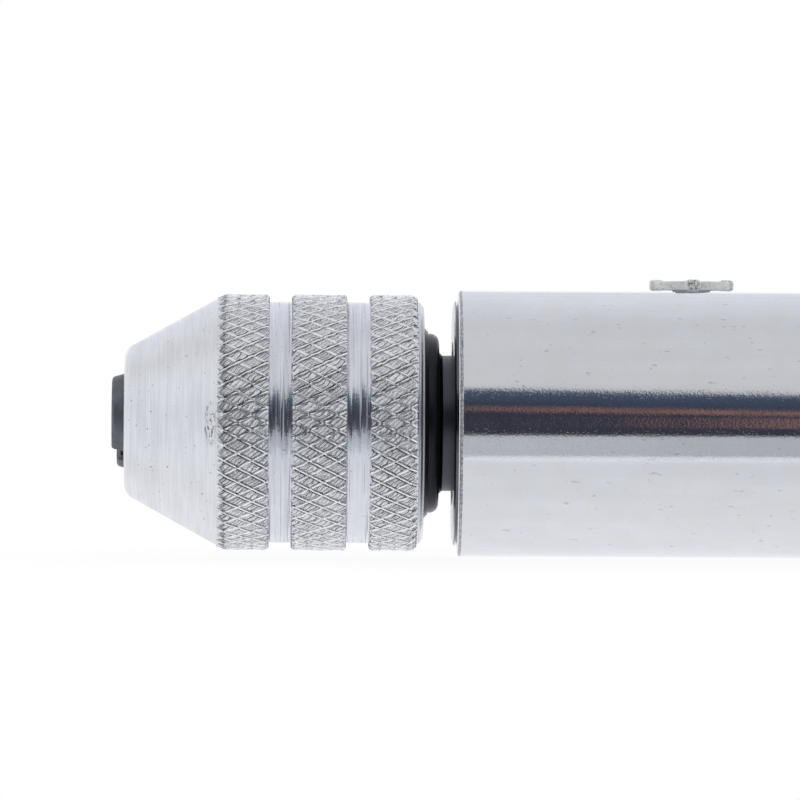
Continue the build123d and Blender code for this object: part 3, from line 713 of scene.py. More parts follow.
@dataclass(frozen=True)
class PolishedFinish(Finish):
    """Bright plating: a fine orange peel, pin pricks, hairline scratches and specks.

    Attributes:
        peel: Height of the orange peel in mm.
        peel_pattern: The peel's dimples.
        wear: How the peel and the sheen vary along the piece.
        pricks: The pin pricks.
        prick_depth: Their depth in mm.
        hair: Hairline scratches round the piece.
        drag: Hairline scratches along it.
        scratch_depth: The scratches' depth in mm.
        along: The way the piece lies.
        clouds: Dull clouds drawn out along the piece.
        cloud_colour: What they tend to.
        warmth: Faintly yellowed places.
        warm_colour: What they tend to.
        specks: Small round marks.
        dashes: Short marks along the piece.
        few: The places that have dashes.
        mark_colour: Of specks and dashes.
        mark_share: How dark they are.
        bevel_end: Where a worn bevel at the piece's front, painted with a dark reflection, ends, in mm along
            the tool.
        bevel_edges: Where the bevel's rise and fall start and end, in mm behind its end.
        bevel_reflection_colour: The painted dark reflection that the bevel tends to.
        bevel_unevenness: How its edges waver.
        bevel_roughness: Its roughness.
        bevel_wear: Its own unevenness.
        bevel_depth: Depth of that in mm.
    """

    peel: float = 0.0026
    peel_pattern: Pattern = Pattern(5.6, roughness=0.55)
    wear: Pattern = Pattern(0.35, 3.0, 0.6, edges=(0.35, 0.7), shares=(0.75, 1.3))
    pricks: Pattern = Pattern(8.5, 1.0, 0.4, edges=(0.62, 0.78))
    prick_depth: float = 0.0018
    hair: Pattern = Pattern(3.2, 4.0, 0.75)
    drag: Pattern = Pattern(2.4, 3.0, 0.7)
    scratch_depth: float = 0.0008
    along: Axis = Axis.ALONG
    clouds: Pattern = Pattern(0.35, 4.0, 0.65, edges=(0.35, 0.65), shares=(0.0, 0.07))
    cloud_colour: str = "#8e8f90"
    warmth: Pattern = Pattern(0.55, 4.0, 0.7, edges=(0.42, 0.62), shares=(0.0, 0.28))
    warm_colour: str = "#dcdad4"
    specks: Pattern = Pattern(4.2, 1.0, 0.4, edges=(0.765, 0.81))
    dashes: Pattern = Pattern(4.2, 1.0, 0.4, edges=(0.62, 0.70))
    few: Pattern = Pattern(0.9, 1.0, edges=(0.58, 0.66))
    mark_colour: str = "#6b6d74"
    mark_share: float = 0.28
    bevel_end: Optional[float] = None
    bevel_edges: Edges = ((-0.22, -0.14), (0.0, 0.06))
    bevel_reflection_colour: str = "#76757c"
    bevel_unevenness: Pattern = Pattern(6.0)
    bevel_roughness: float = 0.3
    bevel_wear: Pattern = Pattern(7.0)
    bevel_depth: float = 0.05

    def stretch(self, along: float, around: float) -> Triple:
        """Scale of a noise along and round the piece, as scales along the tool's three axes."""
        return (along, around, around) if self.along is Axis.ALONG else (around, along, around)

    def paint(self, n: Nodes, place: Socket, shader: bpy.types.Node) -> None:
        """Adds the peel, the pricks, scratches round and along the piece, and small specks.

        Args:
            n: The material's nodes.
            place: The place on the tool in metres.
            shader: What the finish sets.
        """
        around = n.add(Kind.STRETCHED, place, self.stretch(1.0, 0.05))
        lengthways = n.add(Kind.STRETCHED, place, self.stretch(0.05, 1.0))
        hairs = n.add(Kind.PLUS, self.hair.noise(n, around), self.drag.noise(n, lengthways))
        peel = self.peel_pattern.noise(n, place)
        worn = self.wear.share(n, place)
        colour = n.add(Kind.MIX, self.clouds.share(n, lengthways), self.mottled(n, place), self.cloud_colour)
        colour = n.add(Kind.MIX, self.warmth.share(n, place), colour, self.warm_colour)
        marks = n.add(Kind.TIMES, self.marks(n, place), self.mark_share)
        colour = n.add(Kind.MIX, marks, colour, self.mark_colour)
        roughness = n.add(Kind.TIMES, worn, self.roughness)
        normal = n.add(Kind.BUMP, n.add(Kind.TIMES, peel, worn), self.peel * MM)
        normal = n.add(Kind.BUMP, self.pricks.share(n, place), -self.prick_depth * MM, normal)
        normal = n.add(Kind.BUMP, hairs, self.scratch_depth * MM, normal)
        if self.bevel_end is not None:
            # Painted reflection: the bevel is painted darker grey as a dark reflection; its roughness and
            # bump are wear.
            bevel = self.bevel(n, place)
            share = n.add(Kind.TIMES, bevel, n.add(Kind.STEP, peel, 0.35, 0.65, 0.4, 0.9))
            colour = n.add(Kind.MIX, share, colour, self.bevel_reflection_colour)
            roughness = n.add(Kind.HIGHEST, roughness, n.add(Kind.TIMES, bevel, self.bevel_roughness))
            wear = n.add(Kind.TIMES, bevel, self.bevel_wear.noise(n, place))
            normal = n.add(Kind.BUMP, wear, self.bevel_depth * MM, normal)
        n.set(shader, "Base Color", colour)
        n.set(shader, "Roughness", roughness)
        n.set(shader, "Normal", normal)

    def marks(self, n: Nodes, place: Socket) -> Socket:
        """Small round specks, and short dashes along the piece in a few places.

        Args:
            n: The material's nodes.
            place: The place on the tool in metres.

        Returns:
            1 on a mark and 0 beside it.
        """
        drawn_out = n.add(Kind.STRETCHED, place, self.stretch(0.35, 1.0))
        dashes = n.add(Kind.TIMES, self.dashes.share(n, drawn_out), self.few.share(n, place))
        return n.add(Kind.HIGHEST, self.specks.share(n, place), dashes)

    def bevel(self, n: Nodes, place: Socket) -> Socket:
        """Where the bevel at the piece's front is, with an uneven edge: it gets the painted dark reflection
        and the wear.

        Args:
            n: The material's nodes.
            place: The place on the tool in metres.

        Returns:
            1 on the bevel and 0 beside it.
        """
        uneven = n.add(Kind.TIMES, self.bevel_unevenness.noise(n, place), 0.10 * MM)
        frayed = n.add(Kind.PLUS, n.add(Kind.APART, place), uneven)
        rise, fall = (in_metres([self.bevel_end + edge for edge in pair]) for pair in self.bevel_edges)
        return n.between(frayed, (rise, fall))


@dataclass(frozen=True)
class CastFinish(Finish):
    """A dull, coarse casting, with dark dirt in its hollows.

    Attributes:
        dullness: Share of the surface that is dull rather than metal.
        scores: Its crossing scores.
        score_depth: Their depth in mm.
        painted_light_below: Height in mm under which the stem is painted plain white, without dirt, as
            painted light.
        painted_light_edge: Half the height in mm over which that changes.
        painted_light_colour: Of the stem's painted light.
        dirt: A thin dirt all over.
        grime: Middle and reach in mm of its dirtiest places.
        grime_colour: Of the dirt.
    """

    dullness: float = 0.95
    scores: Pattern = Pattern(5.5, 3.0, 0.7, stretch=(1.0, 1.0, 0.7))
    score_depth: float = 0.05
    painted_light_below: float = 10.5
    painted_light_edge: float = 0.04
    painted_light_colour: str = "#ffffff"
    dirt: Pattern = Pattern(1.1, edges=(0.42, 0.6), shares=(0.2, 0.6))
    grime: tuple[tuple[float, ...], ...] = (
        (44.2, -3.2, 10.9, 0.62), (46.9, -0.5, 11.25, 0.5), (41.5, -1.0, 10.5, 0.3),
    )
    grime_colour: str = "#5a6063"

    def paint(self, n: Nodes, place: Socket, shader: bpy.types.Node) -> None:
        """Adds crossing scores and dirt to the plain finish, and paints the stem plain white as painted
        light.

        Args:
            n: The material's nodes.
            place: The place on the tool in metres.
            shader: What the finish sets.
        """
        super().paint(n, place, shader)
        scores = self.scores.noise(n, place)
        dirty = self.dirt.share(n, place)
        for *middle, reach in self.grime:
            away = n.add(Kind.DISTANCE, place, in_metres(middle))
            near = n.add(Kind.STEP, away, 0.5 * reach * MM, 1.2 * reach * MM, 1.0, 0.0)
            dirty = n.add(Kind.HIGHEST, dirty, near)
        marks = n.add(Kind.PLUS, scores, n.add(Kind.TIMES, dirty, 0.09))
        marks = n.add(Kind.STEP, marks, 0.57, 0.66, 0.0, 0.9)
        colour = shader.inputs["Base Color"].links[0].from_socket
        colour = n.add(Kind.MIX, n.add(Kind.TIMES, marks, dirty), colour, self.grime_colour)
        # Painted light: under the disc the stem is painted plain white, without dirt, so that it shows
        # bright.
        z = n.add(Kind.APART, place).node.outputs["Z"]
        edge = in_metres((self.painted_light_below - self.painted_light_edge, self.painted_light_below + self.painted_light_edge))
        painted_light = n.add(Kind.STEP, z, *edge, 1.0, 0.0)
        n.set(shader, "Base Color", n.add(Kind.MIX, painted_light, colour, self.painted_light_colour))
        normal = shader.inputs["Normal"].links[0].from_socket
        n.set(shader, "Normal", n.add(Kind.BUMP, scores, self.score_depth * MM, normal))
        n.set(shader, "Metallic", 1.0 - self.dullness)


@dataclass(frozen=True)
class SpindleFinish(Finish):
    """Black oxide on the collar, a thread in front of it and a greyer turned neck behind it.

    Attributes:
        oxide_metallic: How metallic the black oxide is. The neck is bare metal.
        specular: Strength of the oxide's own sheen.
        neck_colour: Of the neck.
        neck_start: Where the neck starts, in mm along the tool.
        neck_edge: How far in mm its start is soft, before and behind.
        neck_rougher: How much rougher the neck is.
        rings: The turned rings.
        ring_depth: Their depth in mm.
        thread: Start and end of the thread, in mm along the tool.
        thread_fade: How far in mm it runs in and out.
        thread_inside: Radius in mm that only the thread is larger than.
        thread_pitch: Distance between its turns in mm.
        thread_depth: Its depth in mm.
    """

    oxide_metallic: float = 0.5
    specular: float = 0.2
    neck_colour: str = "#55575f"
    neck_start: float = 24.5
    neck_edge: Point = (0.1, 0.02)
    neck_rougher: float = 0.12
    rings: Pattern = Pattern(3.0, 3.0, 0.6, stretch=(1.0, 0.04, 0.04))
    ring_depth: float = 0.003
    thread: Point = (11.0, 21.6)
    thread_fade: Point = (0.2, 0.4)
    thread_inside: float = 6.6
    thread_pitch: float = 1.0
    thread_depth: float = 0.4

    def paint(self, n: Nodes, place: Socket, shader: bpy.types.Node) -> None:
        """Splits the colour and sheen where the neck starts, and cuts the thread.

        Args:
            n: The material's nodes.
            place: The place on the tool in metres.
            shader: What the finish sets.
        """
        x, y, z = n.add(Kind.APART, place).node.outputs
        before, behind = self.neck_edge
        neck = n.add(Kind.STEP, x, *in_metres((self.neck_start - before, self.neck_start + behind)))
        colour = n.add(Kind.MIX, neck, self.mottled(n, place), self.neck_colour)
        n.set(shader, "Base Color", colour)
        rougher = n.add(Kind.TIMES, neck, self.neck_rougher)
        n.set(shader, "Roughness", n.add(Kind.PLUS, self.roughness, rougher))
        n.set(shader, "Metallic", n.add(Kind.STEP, neck, 0.0, 1.0, self.oxide_metallic, 1.0))
        n.set(shader, "Specular IOR Level", self.specular)
        turned = n.add(Kind.BUMP, self.rings.noise(n, place), self.ring_depth * MM)
        n.set(shader, "Normal", n.add(Kind.BUMP, self.helix(n, x, y, z), self.thread_depth * MM, turned))

    def helix(self, n: Nodes, x: Socket, y: Socket, z: Socket) -> Socket:
        """The right-handed thread.

        Args:
            n: The material's nodes.
            x: Place along the tool in metres.
            y: Place across it.
            z: Place up from its axis.

        Returns:
            1 on the thread's crests, and 0 at its root and off the thread.
        """
        advance = n.add(Kind.TIMES, x, 2 * math.pi / (self.thread_pitch * MM))
        turns = n.add(Kind.MINUS, advance, n.add(Kind.ARCTANGENT, z, y))
        (start, end), (run_in, run_out) = self.thread, self.thread_fade
        cut = n.between(x, (in_metres((start, start + run_in)), in_metres((end, end + run_out))))
        raised = n.add(Kind.STEP, n.radius(y, z), self.thread_inside * MM, (self.thread_inside + 0.1) * MM)
        cut = n.add(Kind.TIMES, cut, raised)
        return n.add(Kind.TIMES, n.add(Kind.STEP, n.add(Kind.SINE, turns), -0.7, 0.9), cut)


FINISHES: dict[str, Finish] = {
    # Satin plate over turned steel: pale, with fine rings, small pits and one torn scar on the cone.
    "knurled_zinc_steel": TurnedFinish("zinc_plated_turned_steel", "#ecedf0", 0.30, 0.05, 2.5, line_pitch=0.2,
                                       pits=0.6, scuff=(6.75, -9.4, -0.2, 0.62)),
    # Black oxide: nearly black with a weak sheen, greyer where the neck is turned bare.
    "blackened_steel": SpindleFinish("black_oxide_steel", "#2a2b2f", 0.28, 0.1, 1.0),
    # Hardened and ground: a dark even grey that takes a broad, soft highlight.
    "hardened_jaw_steel": Finish("hardened_ground_jaw_steel", "#767980", 0.5, 0.25, 0.8, 0.006, 0.15),
    # Drawn wire: smooth and mid-grey.
    "spring_wire": Finish("drawn_spring_wire", "#9a9ca2", 0.25, 0.1, 0.5),
    # Turned and left bare: clear rings and a plain steel grey.
    "plain_steel": TurnedFinish("turned_plain_steel", "#a4a6aa", 0.28, 0.1, 1.5, line_depth=0.003),
    # Bright chrome: a near mirror, broken by orange peel, hairlines, specks and a worn front bevel painted
    # grey as a dark reflection.
    "polished_chrome": PolishedFinish("bright_chromed_steel", "#e2e4ea", 0.055, 0.03, 3.0, bevel_end=26.27),
    # Turned, then plated: brighter than the nut, with one thin dark ring painted as a reflection of the dark
    # collar.
    "satin_cap_steel": TurnedFinish("turned_plated_cap_steel", "#d4d6da", 0.20, 0.05, 1.0,
                                    painted_reflection_rings=((25.68, 25.93),)),
    # Sintered bronze: dull brown and finely porous.
    "bronze_bush": Finish("sintered_bronze", "#a5793f", 0.45, 0.25, 0.5, 0.01, 0.1),
    # Polished ball steel: a clean mirror.
    "bearing_ball": Finish("polished_ball_steel", "#c8cacd", 0.06, 0.03, 1.0),
    # Rough die casting under thin plate: pale and dull, with scores and dirt in its hollows, and a stem
    # painted plain white as painted light.
    "cast_zinc": CastFinish("die_cast_plated_zinc", "#fdfdfb", 0.4, 0.04, 0.6, 0.06, 0.16),
    # Chrome on the bar: as bright as the barrel's, with its scratches along and round the bar.
    "bar_chrome": PolishedFinish("chromed_bar_steel", "#dddfe5", 0.06, 0.03, 3.0, along=Axis.ACROSS),
}
# Plate over the pressed diamonds: worn crests with painted highlights beside cuts with painted shade, so that
# it sparkles.
KNURL_FINISH = KnurledFinish("zinc_plated_knurl", "#fbfdff", 0.26)
# Plate over coarse turning: streaks that catch the light differently from ring to ring.
GROOVE_FINISH = GrooveFinish("zinc_plated_groove", "#e9ecf3", 0.20, 0.05, 2.5)


# Meshes


SPIN_STEPS = 192
SPUN_WELD = 0.0005
SPUN_CORNER = 28.0


def select_only(piece: bpy.types.Object) -> None:
    """Leaves one object selected and active.

    Args:
        piece: That object.
    """
    bpy.ops.object.select_all(action="DESELECT")
    piece.select_set(True)
    bpy.context.view_layer.objects.active = piece


def spun(name: str, outline: Sequence[Point]) -> bpy.types.Object:
    """Spins a closed outline about the tool's axis.

    Args:
        name: The piece's name.
        outline: Corners as (x, radius) in mm, in order round the section.

    Returns:
        The new piece, smooth but for its real corners.
    """
    points = [in_metres((x, 0.0, radius)) for x, radius in outline]
    ring = [(i, (i + 1) % len(points)) for i in range(len(points))]
    mesh = bpy.data.meshes.new(name)
    mesh.from_pydata(points, ring, ())
    piece = bpy.data.objects.new(name, mesh)
    bpy.context.scene.collection.objects.link(piece)
    select_only(piece)
    bpy.ops.object.mode_set(mode="EDIT")
    bpy.ops.mesh.select_all(action="SELECT")
    bpy.ops.mesh.spin(steps=SPIN_STEPS, angle=2 * math.pi, center=(0, 0, 0), axis=(1, 0, 0))
    bpy.ops.mesh.select_all(action="SELECT")
    bpy.ops.mesh.remove_doubles(threshold=SPUN_WELD * MM)
    bpy.ops.mesh.normals_make_consistent(inside=False)
    bpy.ops.object.mode_set(mode="OBJECT")
    bpy.ops.object.shade_smooth_by_angle(angle=math.radians(SPUN_CORNER))
    return piece


def rounded(outline: list[Point], corner: int, radius: float, steps: int = 8) -> list[Point]:
    """Rounds one corner of an outline.

    Args:
        outline: Corners in mm, in order.
        corner: Number of the corner.
        radius: Of the arc.
        steps: Straight pieces in the arc.

    Returns:
        The outline with the arc in the corner's place.
    """
    before, at, after = (Vector(outline[corner + i]) for i in (-1, 0, 1))
    first, second = (before - at).normalized(), (after - at).normalized()
    half = first.angle(second) / 2
    middle = at + (first + second).normalized() * radius / math.sin(half)
    start = at + first * radius / math.tan(half) - middle
    sweep = start.angle_signed(at + second * radius / math.tan(half) - middle)
    arc = []
    for step in range(steps + 1):
        turned = start.copy()
        turned.rotate(Matrix.Rotation(-sweep * step / steps, 2))
        arc.append(tuple(middle + turned))
    return outline[:corner] + arc + outline[corner + 1:]


def profile(value: np.ndarray, points: Sequence[Point]) -> np.ndarray:
    """Heights on a line through (place, height) points."""
    return np.interp(value, *zip(*points))


def paint(piece: bpy.types.Object, material: bpy.types.Material) -> None:
    """Gives a piece one material."""
    piece.data.materials.clear()
    piece.data.materials.append(material)


def report(piece: bpy.types.Object) -> None:
    """Logs a finished piece."""
    log.info("%s has %d faces", piece.name, len(piece.data.polygons))


# The object


@dataclass
class ChuckNut:
    """The knurled nut: a turned body and three knurled bands that stand for the plain solid.

    Places run along the tool from the nut's front face.

    Attributes:
        length: From its front face to its rear face.
        band_radius: Over the knurl's crests.
        root_radius: At the bottom of the knurl.
        groove_radius: In the two plain grooves.
        face_radius: Where the outer cone would meet the front face.
        face_round: Radius of the rounded rim there.
        cone_end: Where the cone would meet the first band.
        cone_end_radius: The cone's radius there.
        bands: Start and end of each knurled band.
        chamfer_start: Where the rear chamfer starts, at the bands' radius.
        chamfer_end_radius: The chamfer's radius at the rear face.
        rear_steps: Turned steps on it: distance behind the last band, and depth.
        rear_edge: Size of the bevel between chamfer and rear face.
        mouth_radius: Of the hole that the jaws come out of.
        bore_radius: Of the wide bore behind it.
        bore_start: Where that bore starts.
        seat_start: Where the retaining ring's seat starts.
        seat_radius: Of that seat.
        around: Knurl pads in one turn.
        pitch: Length of a pad along the tool.
        edge: How far the bands' sharp edges are broken.
        grid: Places across a pad where it has vertices, 0 to 1.
        pad_surface: Depth of a pad's surface, by the distance from its edge.
        cut_shape: Share of the cut's depth, by the distance from the pad's edge.
        cut_depth: Least depth of the cut beside a crest, and how much deeper the leading way's is.
        crest_shape: Share of the relief that is left on a crest, by the distance from the pad's edge.
        waves: Height, turns round the nut and pace along it of each unevenness of the crests.
        wave_limit: How far the unevenness can raise them.
        sways: Reach and paces along and round the nut of each sideways waver of the knurl's lines.
        sway_inset: How far from a band's side the lines waver fully.
        weld: Distance within which a finished band's vertices are joined.
        array_weld: Distance within which neighbouring pads' vertices are joined.
        band_corner: Angle in degrees from which an edge of a band stays sharp.
    """

    length: float = 23.3
    band_radius: float = 10.0
    root_radius: float = 9.72
    groove_radius: float = 9.4
    face_radius: float = 5.62
    face_round: float = 1.2
    cone_end: float = 7.62
    cone_end_radius: float = 9.85
    bands: tuple[Point, ...] = ((7.3, 11.21), (13.10, 17.28), (19.17, 22.73))
    chamfer_start: float = 22.49
    chamfer_end_radius: float = 9.05
    rear_steps: tuple[Point, ...] = (
        (0.1, 0.0), (0.12, 0.07), (0.24, 0.05), (0.26, 0.0), (0.38, 0.0), (0.40, 0.04), (0.47, 0.03),
    )
    rear_edge: float = 0.03
    mouth_radius: float = 3.95
    bore_radius: float = 7.05
    bore_start: float = 10.81
    seat_start: float = 21.9
    seat_radius: float = 7.4
    around: int = 52
    pitch: float = 2.22
    edge: float = 0.15
    grid: tuple[float, ...] = (0.0, 0.05, 0.10, 0.17, 0.5, 0.83, 0.90, 0.95, 1.0)
    pad_surface: tuple[Point, ...] = ((0.0, 0.01), (0.05, 0.03), (0.18, 0.05), (0.5, 0.03))
    cut_shape: tuple[Point, ...] = ((0.0, 0.0), (0.05, 0.0), (0.10, 1.0), (0.18, 0.0), (0.5, 0.0))
    cut_depth: Point = (0.11, 0.16)
    crest_shape: tuple[Point, ...] = ((0.0, 0.15), (0.04, 0.3), (0.08, 1.0))
    waves: tuple[Triple, ...] = ((0.012, 7, 0.9), (0.01, 17, 1.7), (0.008, 41, 2.9))
    wave_limit: float = 0.012
    sways: tuple[Triple, ...] = ((0.022, 9.1, 5.3), (0.018, 3.7, -7.9))
    sway_inset: float = 0.3
    weld: float = 0.003
    array_weld: float = 0.002
    band_corner: float = 38.0

    def cone_radius(self, x: np.ndarray) -> np.ndarray:
        """Radius of the outer cone at x."""
        return self.face_radius + (self.cone_end_radius - self.face_radius) * x / self.cone_end

    def chamfer_radius(self, x: Union[float, np.ndarray]) -> Union[float, np.ndarray]:
        """Radius of the rear chamfer at x."""
        slope = (self.band_radius - self.chamfer_end_radius) / (self.length - self.chamfer_start)
        return self.band_radius - slope * (x - self.chamfer_start)

    def build_body(self, material: bpy.types.Material) -> bpy.types.Object:
        """Makes the turned body, with its bands at the knurl's root.

        Args:
            material: Of all but the grooves.

        Returns:
            The new piece.
        """
        root = self.root_radius
        start = (root - self.face_radius) / (self.cone_end_radius - self.face_radius) * self.cone_end
        outline = [(0.0, self.mouth_radius), (0.0, self.face_radius), (start, root)]
        for left, right in zip(self.bands[:-1], self.bands[1:]):
            outline += [(left[1], root), (left[1], self.groove_radius), (right[0], self.groove_radius),
                        (right[0], root)]
        for behind, depth in self.rear_steps:
            x = self.bands[-1][1] + behind
            outline.append((x, self.chamfer_radius(x) - depth))
        outline += [(self.length - self.rear_edge, self.chamfer_end_radius + self.rear_edge),
                    (self.length, self.chamfer_end_radius), (self.length, self.seat_radius),
                    (self.seat_start, self.seat_radius), (self.seat_start, self.bore_radius),
                    (self.bore_start, self.bore_radius)]
        body = spun("chuck_nut_body", rounded(outline, 1, self.face_round))
        paint(body, material)
        body.data.materials.append(GROOVE_FINISH.build())
        for face in body.data.polygons:
            x, y, z = face.center / MM
            between_bands = self.bands[0][1] < x < self.bands[-1][0]
            at_groove = self.groove_radius - 0.1 < math.hypot(y, z) < self.groove_radius + 0.01
            face.material_index = int(between_bands and at_groove)
        return body

    def relief(self, p: np.ndarray, q: np.ndarray, upper: np.ndarray) -> np.ndarray:
        """Depth of the knurl below its crests.

        Args:
            p: Place inside a pad along the knurl's first way, 0 to 1.
            q: The same along its second way.
            upper: 1 where the first way is cut deeper, and 0 where the second is.

        Returns:
            The depth in mm.
        """
        first_side, second_side = np.minimum(p, 1 - p), np.minimum(q, 1 - q)
        first = self.cut(first_side, upper) * (0.9 + 0.1 * upper)
        second = self.cut(second_side, 1 - upper) * (1 - 0.4 * upper)
        first_crest = (0.35 + 0.65 * upper) * (1 - profile(first_side, self.crest_shape))
        second_crest = (1 - 0.8 * upper) * (1 - profile(second_side, self.crest_shape))
        return np.maximum(first, second) * ((1 - first_crest) * (1 - second_crest))

    def cut(self, side: np.ndarray, share: np.ndarray) -> np.ndarray:
        """Depth of the pads and cuts along one of the knurl's two ways.

        Args:
            side: Distance from the pad's edge, 0 to 0.5.
            share: How far this way leads over the other, 0 to 1.

        Returns:
            The depth in mm.
        """
        least, more = self.cut_depth
        peak = profile(side, self.cut_shape)
        return profile(side, self.pad_surface) * (1 - peak) + (least + more * share) * peak

    def build_band(self, number: int) -> bpy.types.Object:
        """Makes one knurled band: a pad is modelled flat, arrayed, trimmed and wrapped round the nut.

        Args:
            number: Which band, from 0 at the front.

        Returns:
            The new piece.
        """
        start, end = self.bands[number]
        width = 2 * math.pi * self.band_radius / self.around
        bpy.ops.object.select_all(action="DESELECT")
        bpy.ops.mesh.primitive_grid_add(x_subdivisions=len(self.grid) - 1, y_subdivisions=len(self.grid) - 1,
                                        size=1.0, calc_uvs=True)
        band = bpy.context.active_object
        band.name = band.data.name = f"chuck_nut_knurl_{number + 1}"
        band.data.uv_layers[0].name = KNURL_MAP
        coords = self.coords(band) + (0.5, 0.5, 0)
        p, q = (np.interp(coords[:, i], np.linspace(0, 1, len(self.grid)), self.grid) for i in (0, 1))
        flat = np.stack([(p + q - 1) * self.pitch / 2, (p - q) * width / 2, 0 * p], 1)
        band.data.vertices.foreach_set("co", (flat * MM).ravel())
        rows = math.ceil((end - start) / self.pitch) + 2
        self.array(band, 2, (self.pitch / 2, width / 2, 0))
        self.array(band, rows, (self.pitch, 0, 0))
        self.array(band, self.around, (0, width, 0))
        bpy.ops.object.mode_set(mode="EDIT")
        first = math.floor(start / self.pitch) * self.pitch - self.pitch / 2
        bpy.ops.mesh.select_all(action="SELECT")
        bpy.ops.transform.translate(value=(first * MM, 0, 0))
        for x, outer in ((start, False), (end, True)):
            bpy.ops.mesh.select_all(action="SELECT")
            bpy.ops.mesh.bisect(plane_co=(x * MM, 0, 0), plane_no=(1, 0, 0), clear_inner=not outer,
                                clear_outer=outer)
        bpy.ops.object.mode_set(mode="OBJECT")
        self.wrap(band, start, end, width)
        return band

    def coords(self, piece: bpy.types.Object) -> np.ndarray:
        """Reads a piece's vertices.

        Args:
            piece: The piece.

        Returns:
            One vertex in each row, in metres.
        """
        coords = np.empty(len(piece.data.vertices) * 3)
        piece.data.vertices.foreach_get("co", coords)
        return coords.reshape(-1, 3)

    def array(self, piece: bpy.types.Object, count: int, step: Sequence[float]) -> None:
        """Repeats a piece and joins the copies where they touch.

        Args:
            piece: What is repeated.
            count: How many there are afterwards.
            step: From one to the next in mm.
        """
        modifier = piece.modifiers.new("repeat", "ARRAY")
        modifier.count = count
        modifier.use_relative_offset = False
        modifier.use_constant_offset = True
        modifier.constant_offset_displace = in_metres(step)
        modifier.use_merge_vertices = True
        modifier.merge_threshold = self.array_weld * MM
        select_only(piece)
        bpy.ops.object.modifier_apply(modifier=modifier.name)

    def crest_height(self, x: np.ndarray, across: np.ndarray, start: float, end: float) -> np.ndarray:
        """How far out the knurl can reach before it is pressed in.

        Args:
            x: Places along the tool.
            across: Places round the nut.
            start: Where the band starts.
            end: Where it ends.

        Returns:
            The largest radius: by the cone, the chamfer and the broken edges.
        """
        limit = self.cone_radius(x)
        if start > self.cone_end:
            limit = np.minimum(limit, self.band_radius - self.edge + (x - start))
        if end < self.bands[-1][1]:
            return np.minimum(limit, self.band_radius - self.edge + (end - x))
        return np.minimum(limit, self.chamfer_radius(x))

    def wrap(self, band: bpy.types.Object, start: float, end: float, width: float) -> None:
        """Bends the flat band round the axis, presses the knurl in and closes its two sides.

        Args:
            band: The flat band.
            start: Where it starts along the tool.
            end: Where it ends.
            width: Of a pad round the nut.
        """
        x, across, _ = (self.coords(band) / MM).T
        lattice = np.stack([x / self.pitch + across / width, x / self.pitch - across / width], 1)
        corners = np.empty(len(band.data.loops), dtype=np.int32)
        band.data.loops.foreach_get("vertex_index", corners)
        band.data.uv_layers[0].data.foreach_set("uv", lattice[corners].ravel())
        p, q = (lattice % 1.0).T
        upper = 0.5 + 0.5 * np.clip(2.4 * np.cos(across / self.band_radius), -1, 1)
        phases = np.random.default_rng(7).uniform(0, 6, len(self.waves))
        waves = sum(height * np.sin(turns * across / self.band_radius + phase) * np.cos(pace * x + phase)
                    for (height, turns, pace), phase in zip(self.waves, phases))
        waves = np.minimum(waves, self.wave_limit) - self.wave_limit
        radius = self.band_radius - self.relief(p, q, upper) + waves
        radius = np.minimum(radius, self.crest_height(x, across, start, end))
        radius = np.maximum(radius, self.root_radius + 0.01)
        sway = sum(reach * np.sin(along * x + around * across) for reach, along, around in self.sways)
        inward = np.minimum(x - start, end - x) / self.sway_inset
        x, across = x + sway * np.clip(inward, 0, 1), across + 0.8 * sway
        angle = across / self.band_radius
        wrapped = np.stack([x, -radius * np.sin(angle), radius * np.cos(angle)], 1)
        band.data.vertices.foreach_set("co", (wrapped * MM).ravel())
        self.close(band)

    def close(self, band: bpy.types.Object) -> None:
        """Joins the wrapped band's ends and turns its two sides down under the body's surface.

        Args:
            band: The wrapped band.
        """
        select_only(band)
        bpy.ops.object.mode_set(mode="EDIT")
        bpy.ops.mesh.select_all(action="SELECT")
        bpy.ops.mesh.remove_doubles(threshold=self.weld * MM)
        bpy.ops.mesh.normals_make_consistent(inside=False)
        bpy.ops.mesh.select_all(action="DESELECT")
        bpy.ops.mesh.select_non_manifold(extend=False)
        bpy.ops.mesh.extrude_edges_move(TRANSFORM_OT_translate={"value": (0, 0, 0)})
        inner = (self.root_radius - 0.03) / self.band_radius
        bpy.ops.transform.resize(value=(1, inner, inner), center_override=(0, 0, 0))
        bpy.ops.mesh.select_all(action="SELECT")
        bpy.ops.mesh.normals_make_consistent(inside=False)
        bpy.ops.object.mode_set(mode="OBJECT")
        bpy.ops.object.shade_smooth_by_angle(angle=math.radians(self.band_corner))

    def dress(self, materials: Materials) -> None:
        """Builds the pieces, paints them and puts them on the nut's body.

        Args:
            materials: The built finishes by slot.
        """
        body = self.build_body(materials["knurled_zinc_steel"])
        knurl = KNURL_FINISH.build()
        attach(body, "nut")
        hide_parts("chuck_nut")
        report(body)
        for number in range(len(self.bands)):
            band = self.build_band(number)
            paint(band, knurl)
            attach(band, "nut")
            report(band)


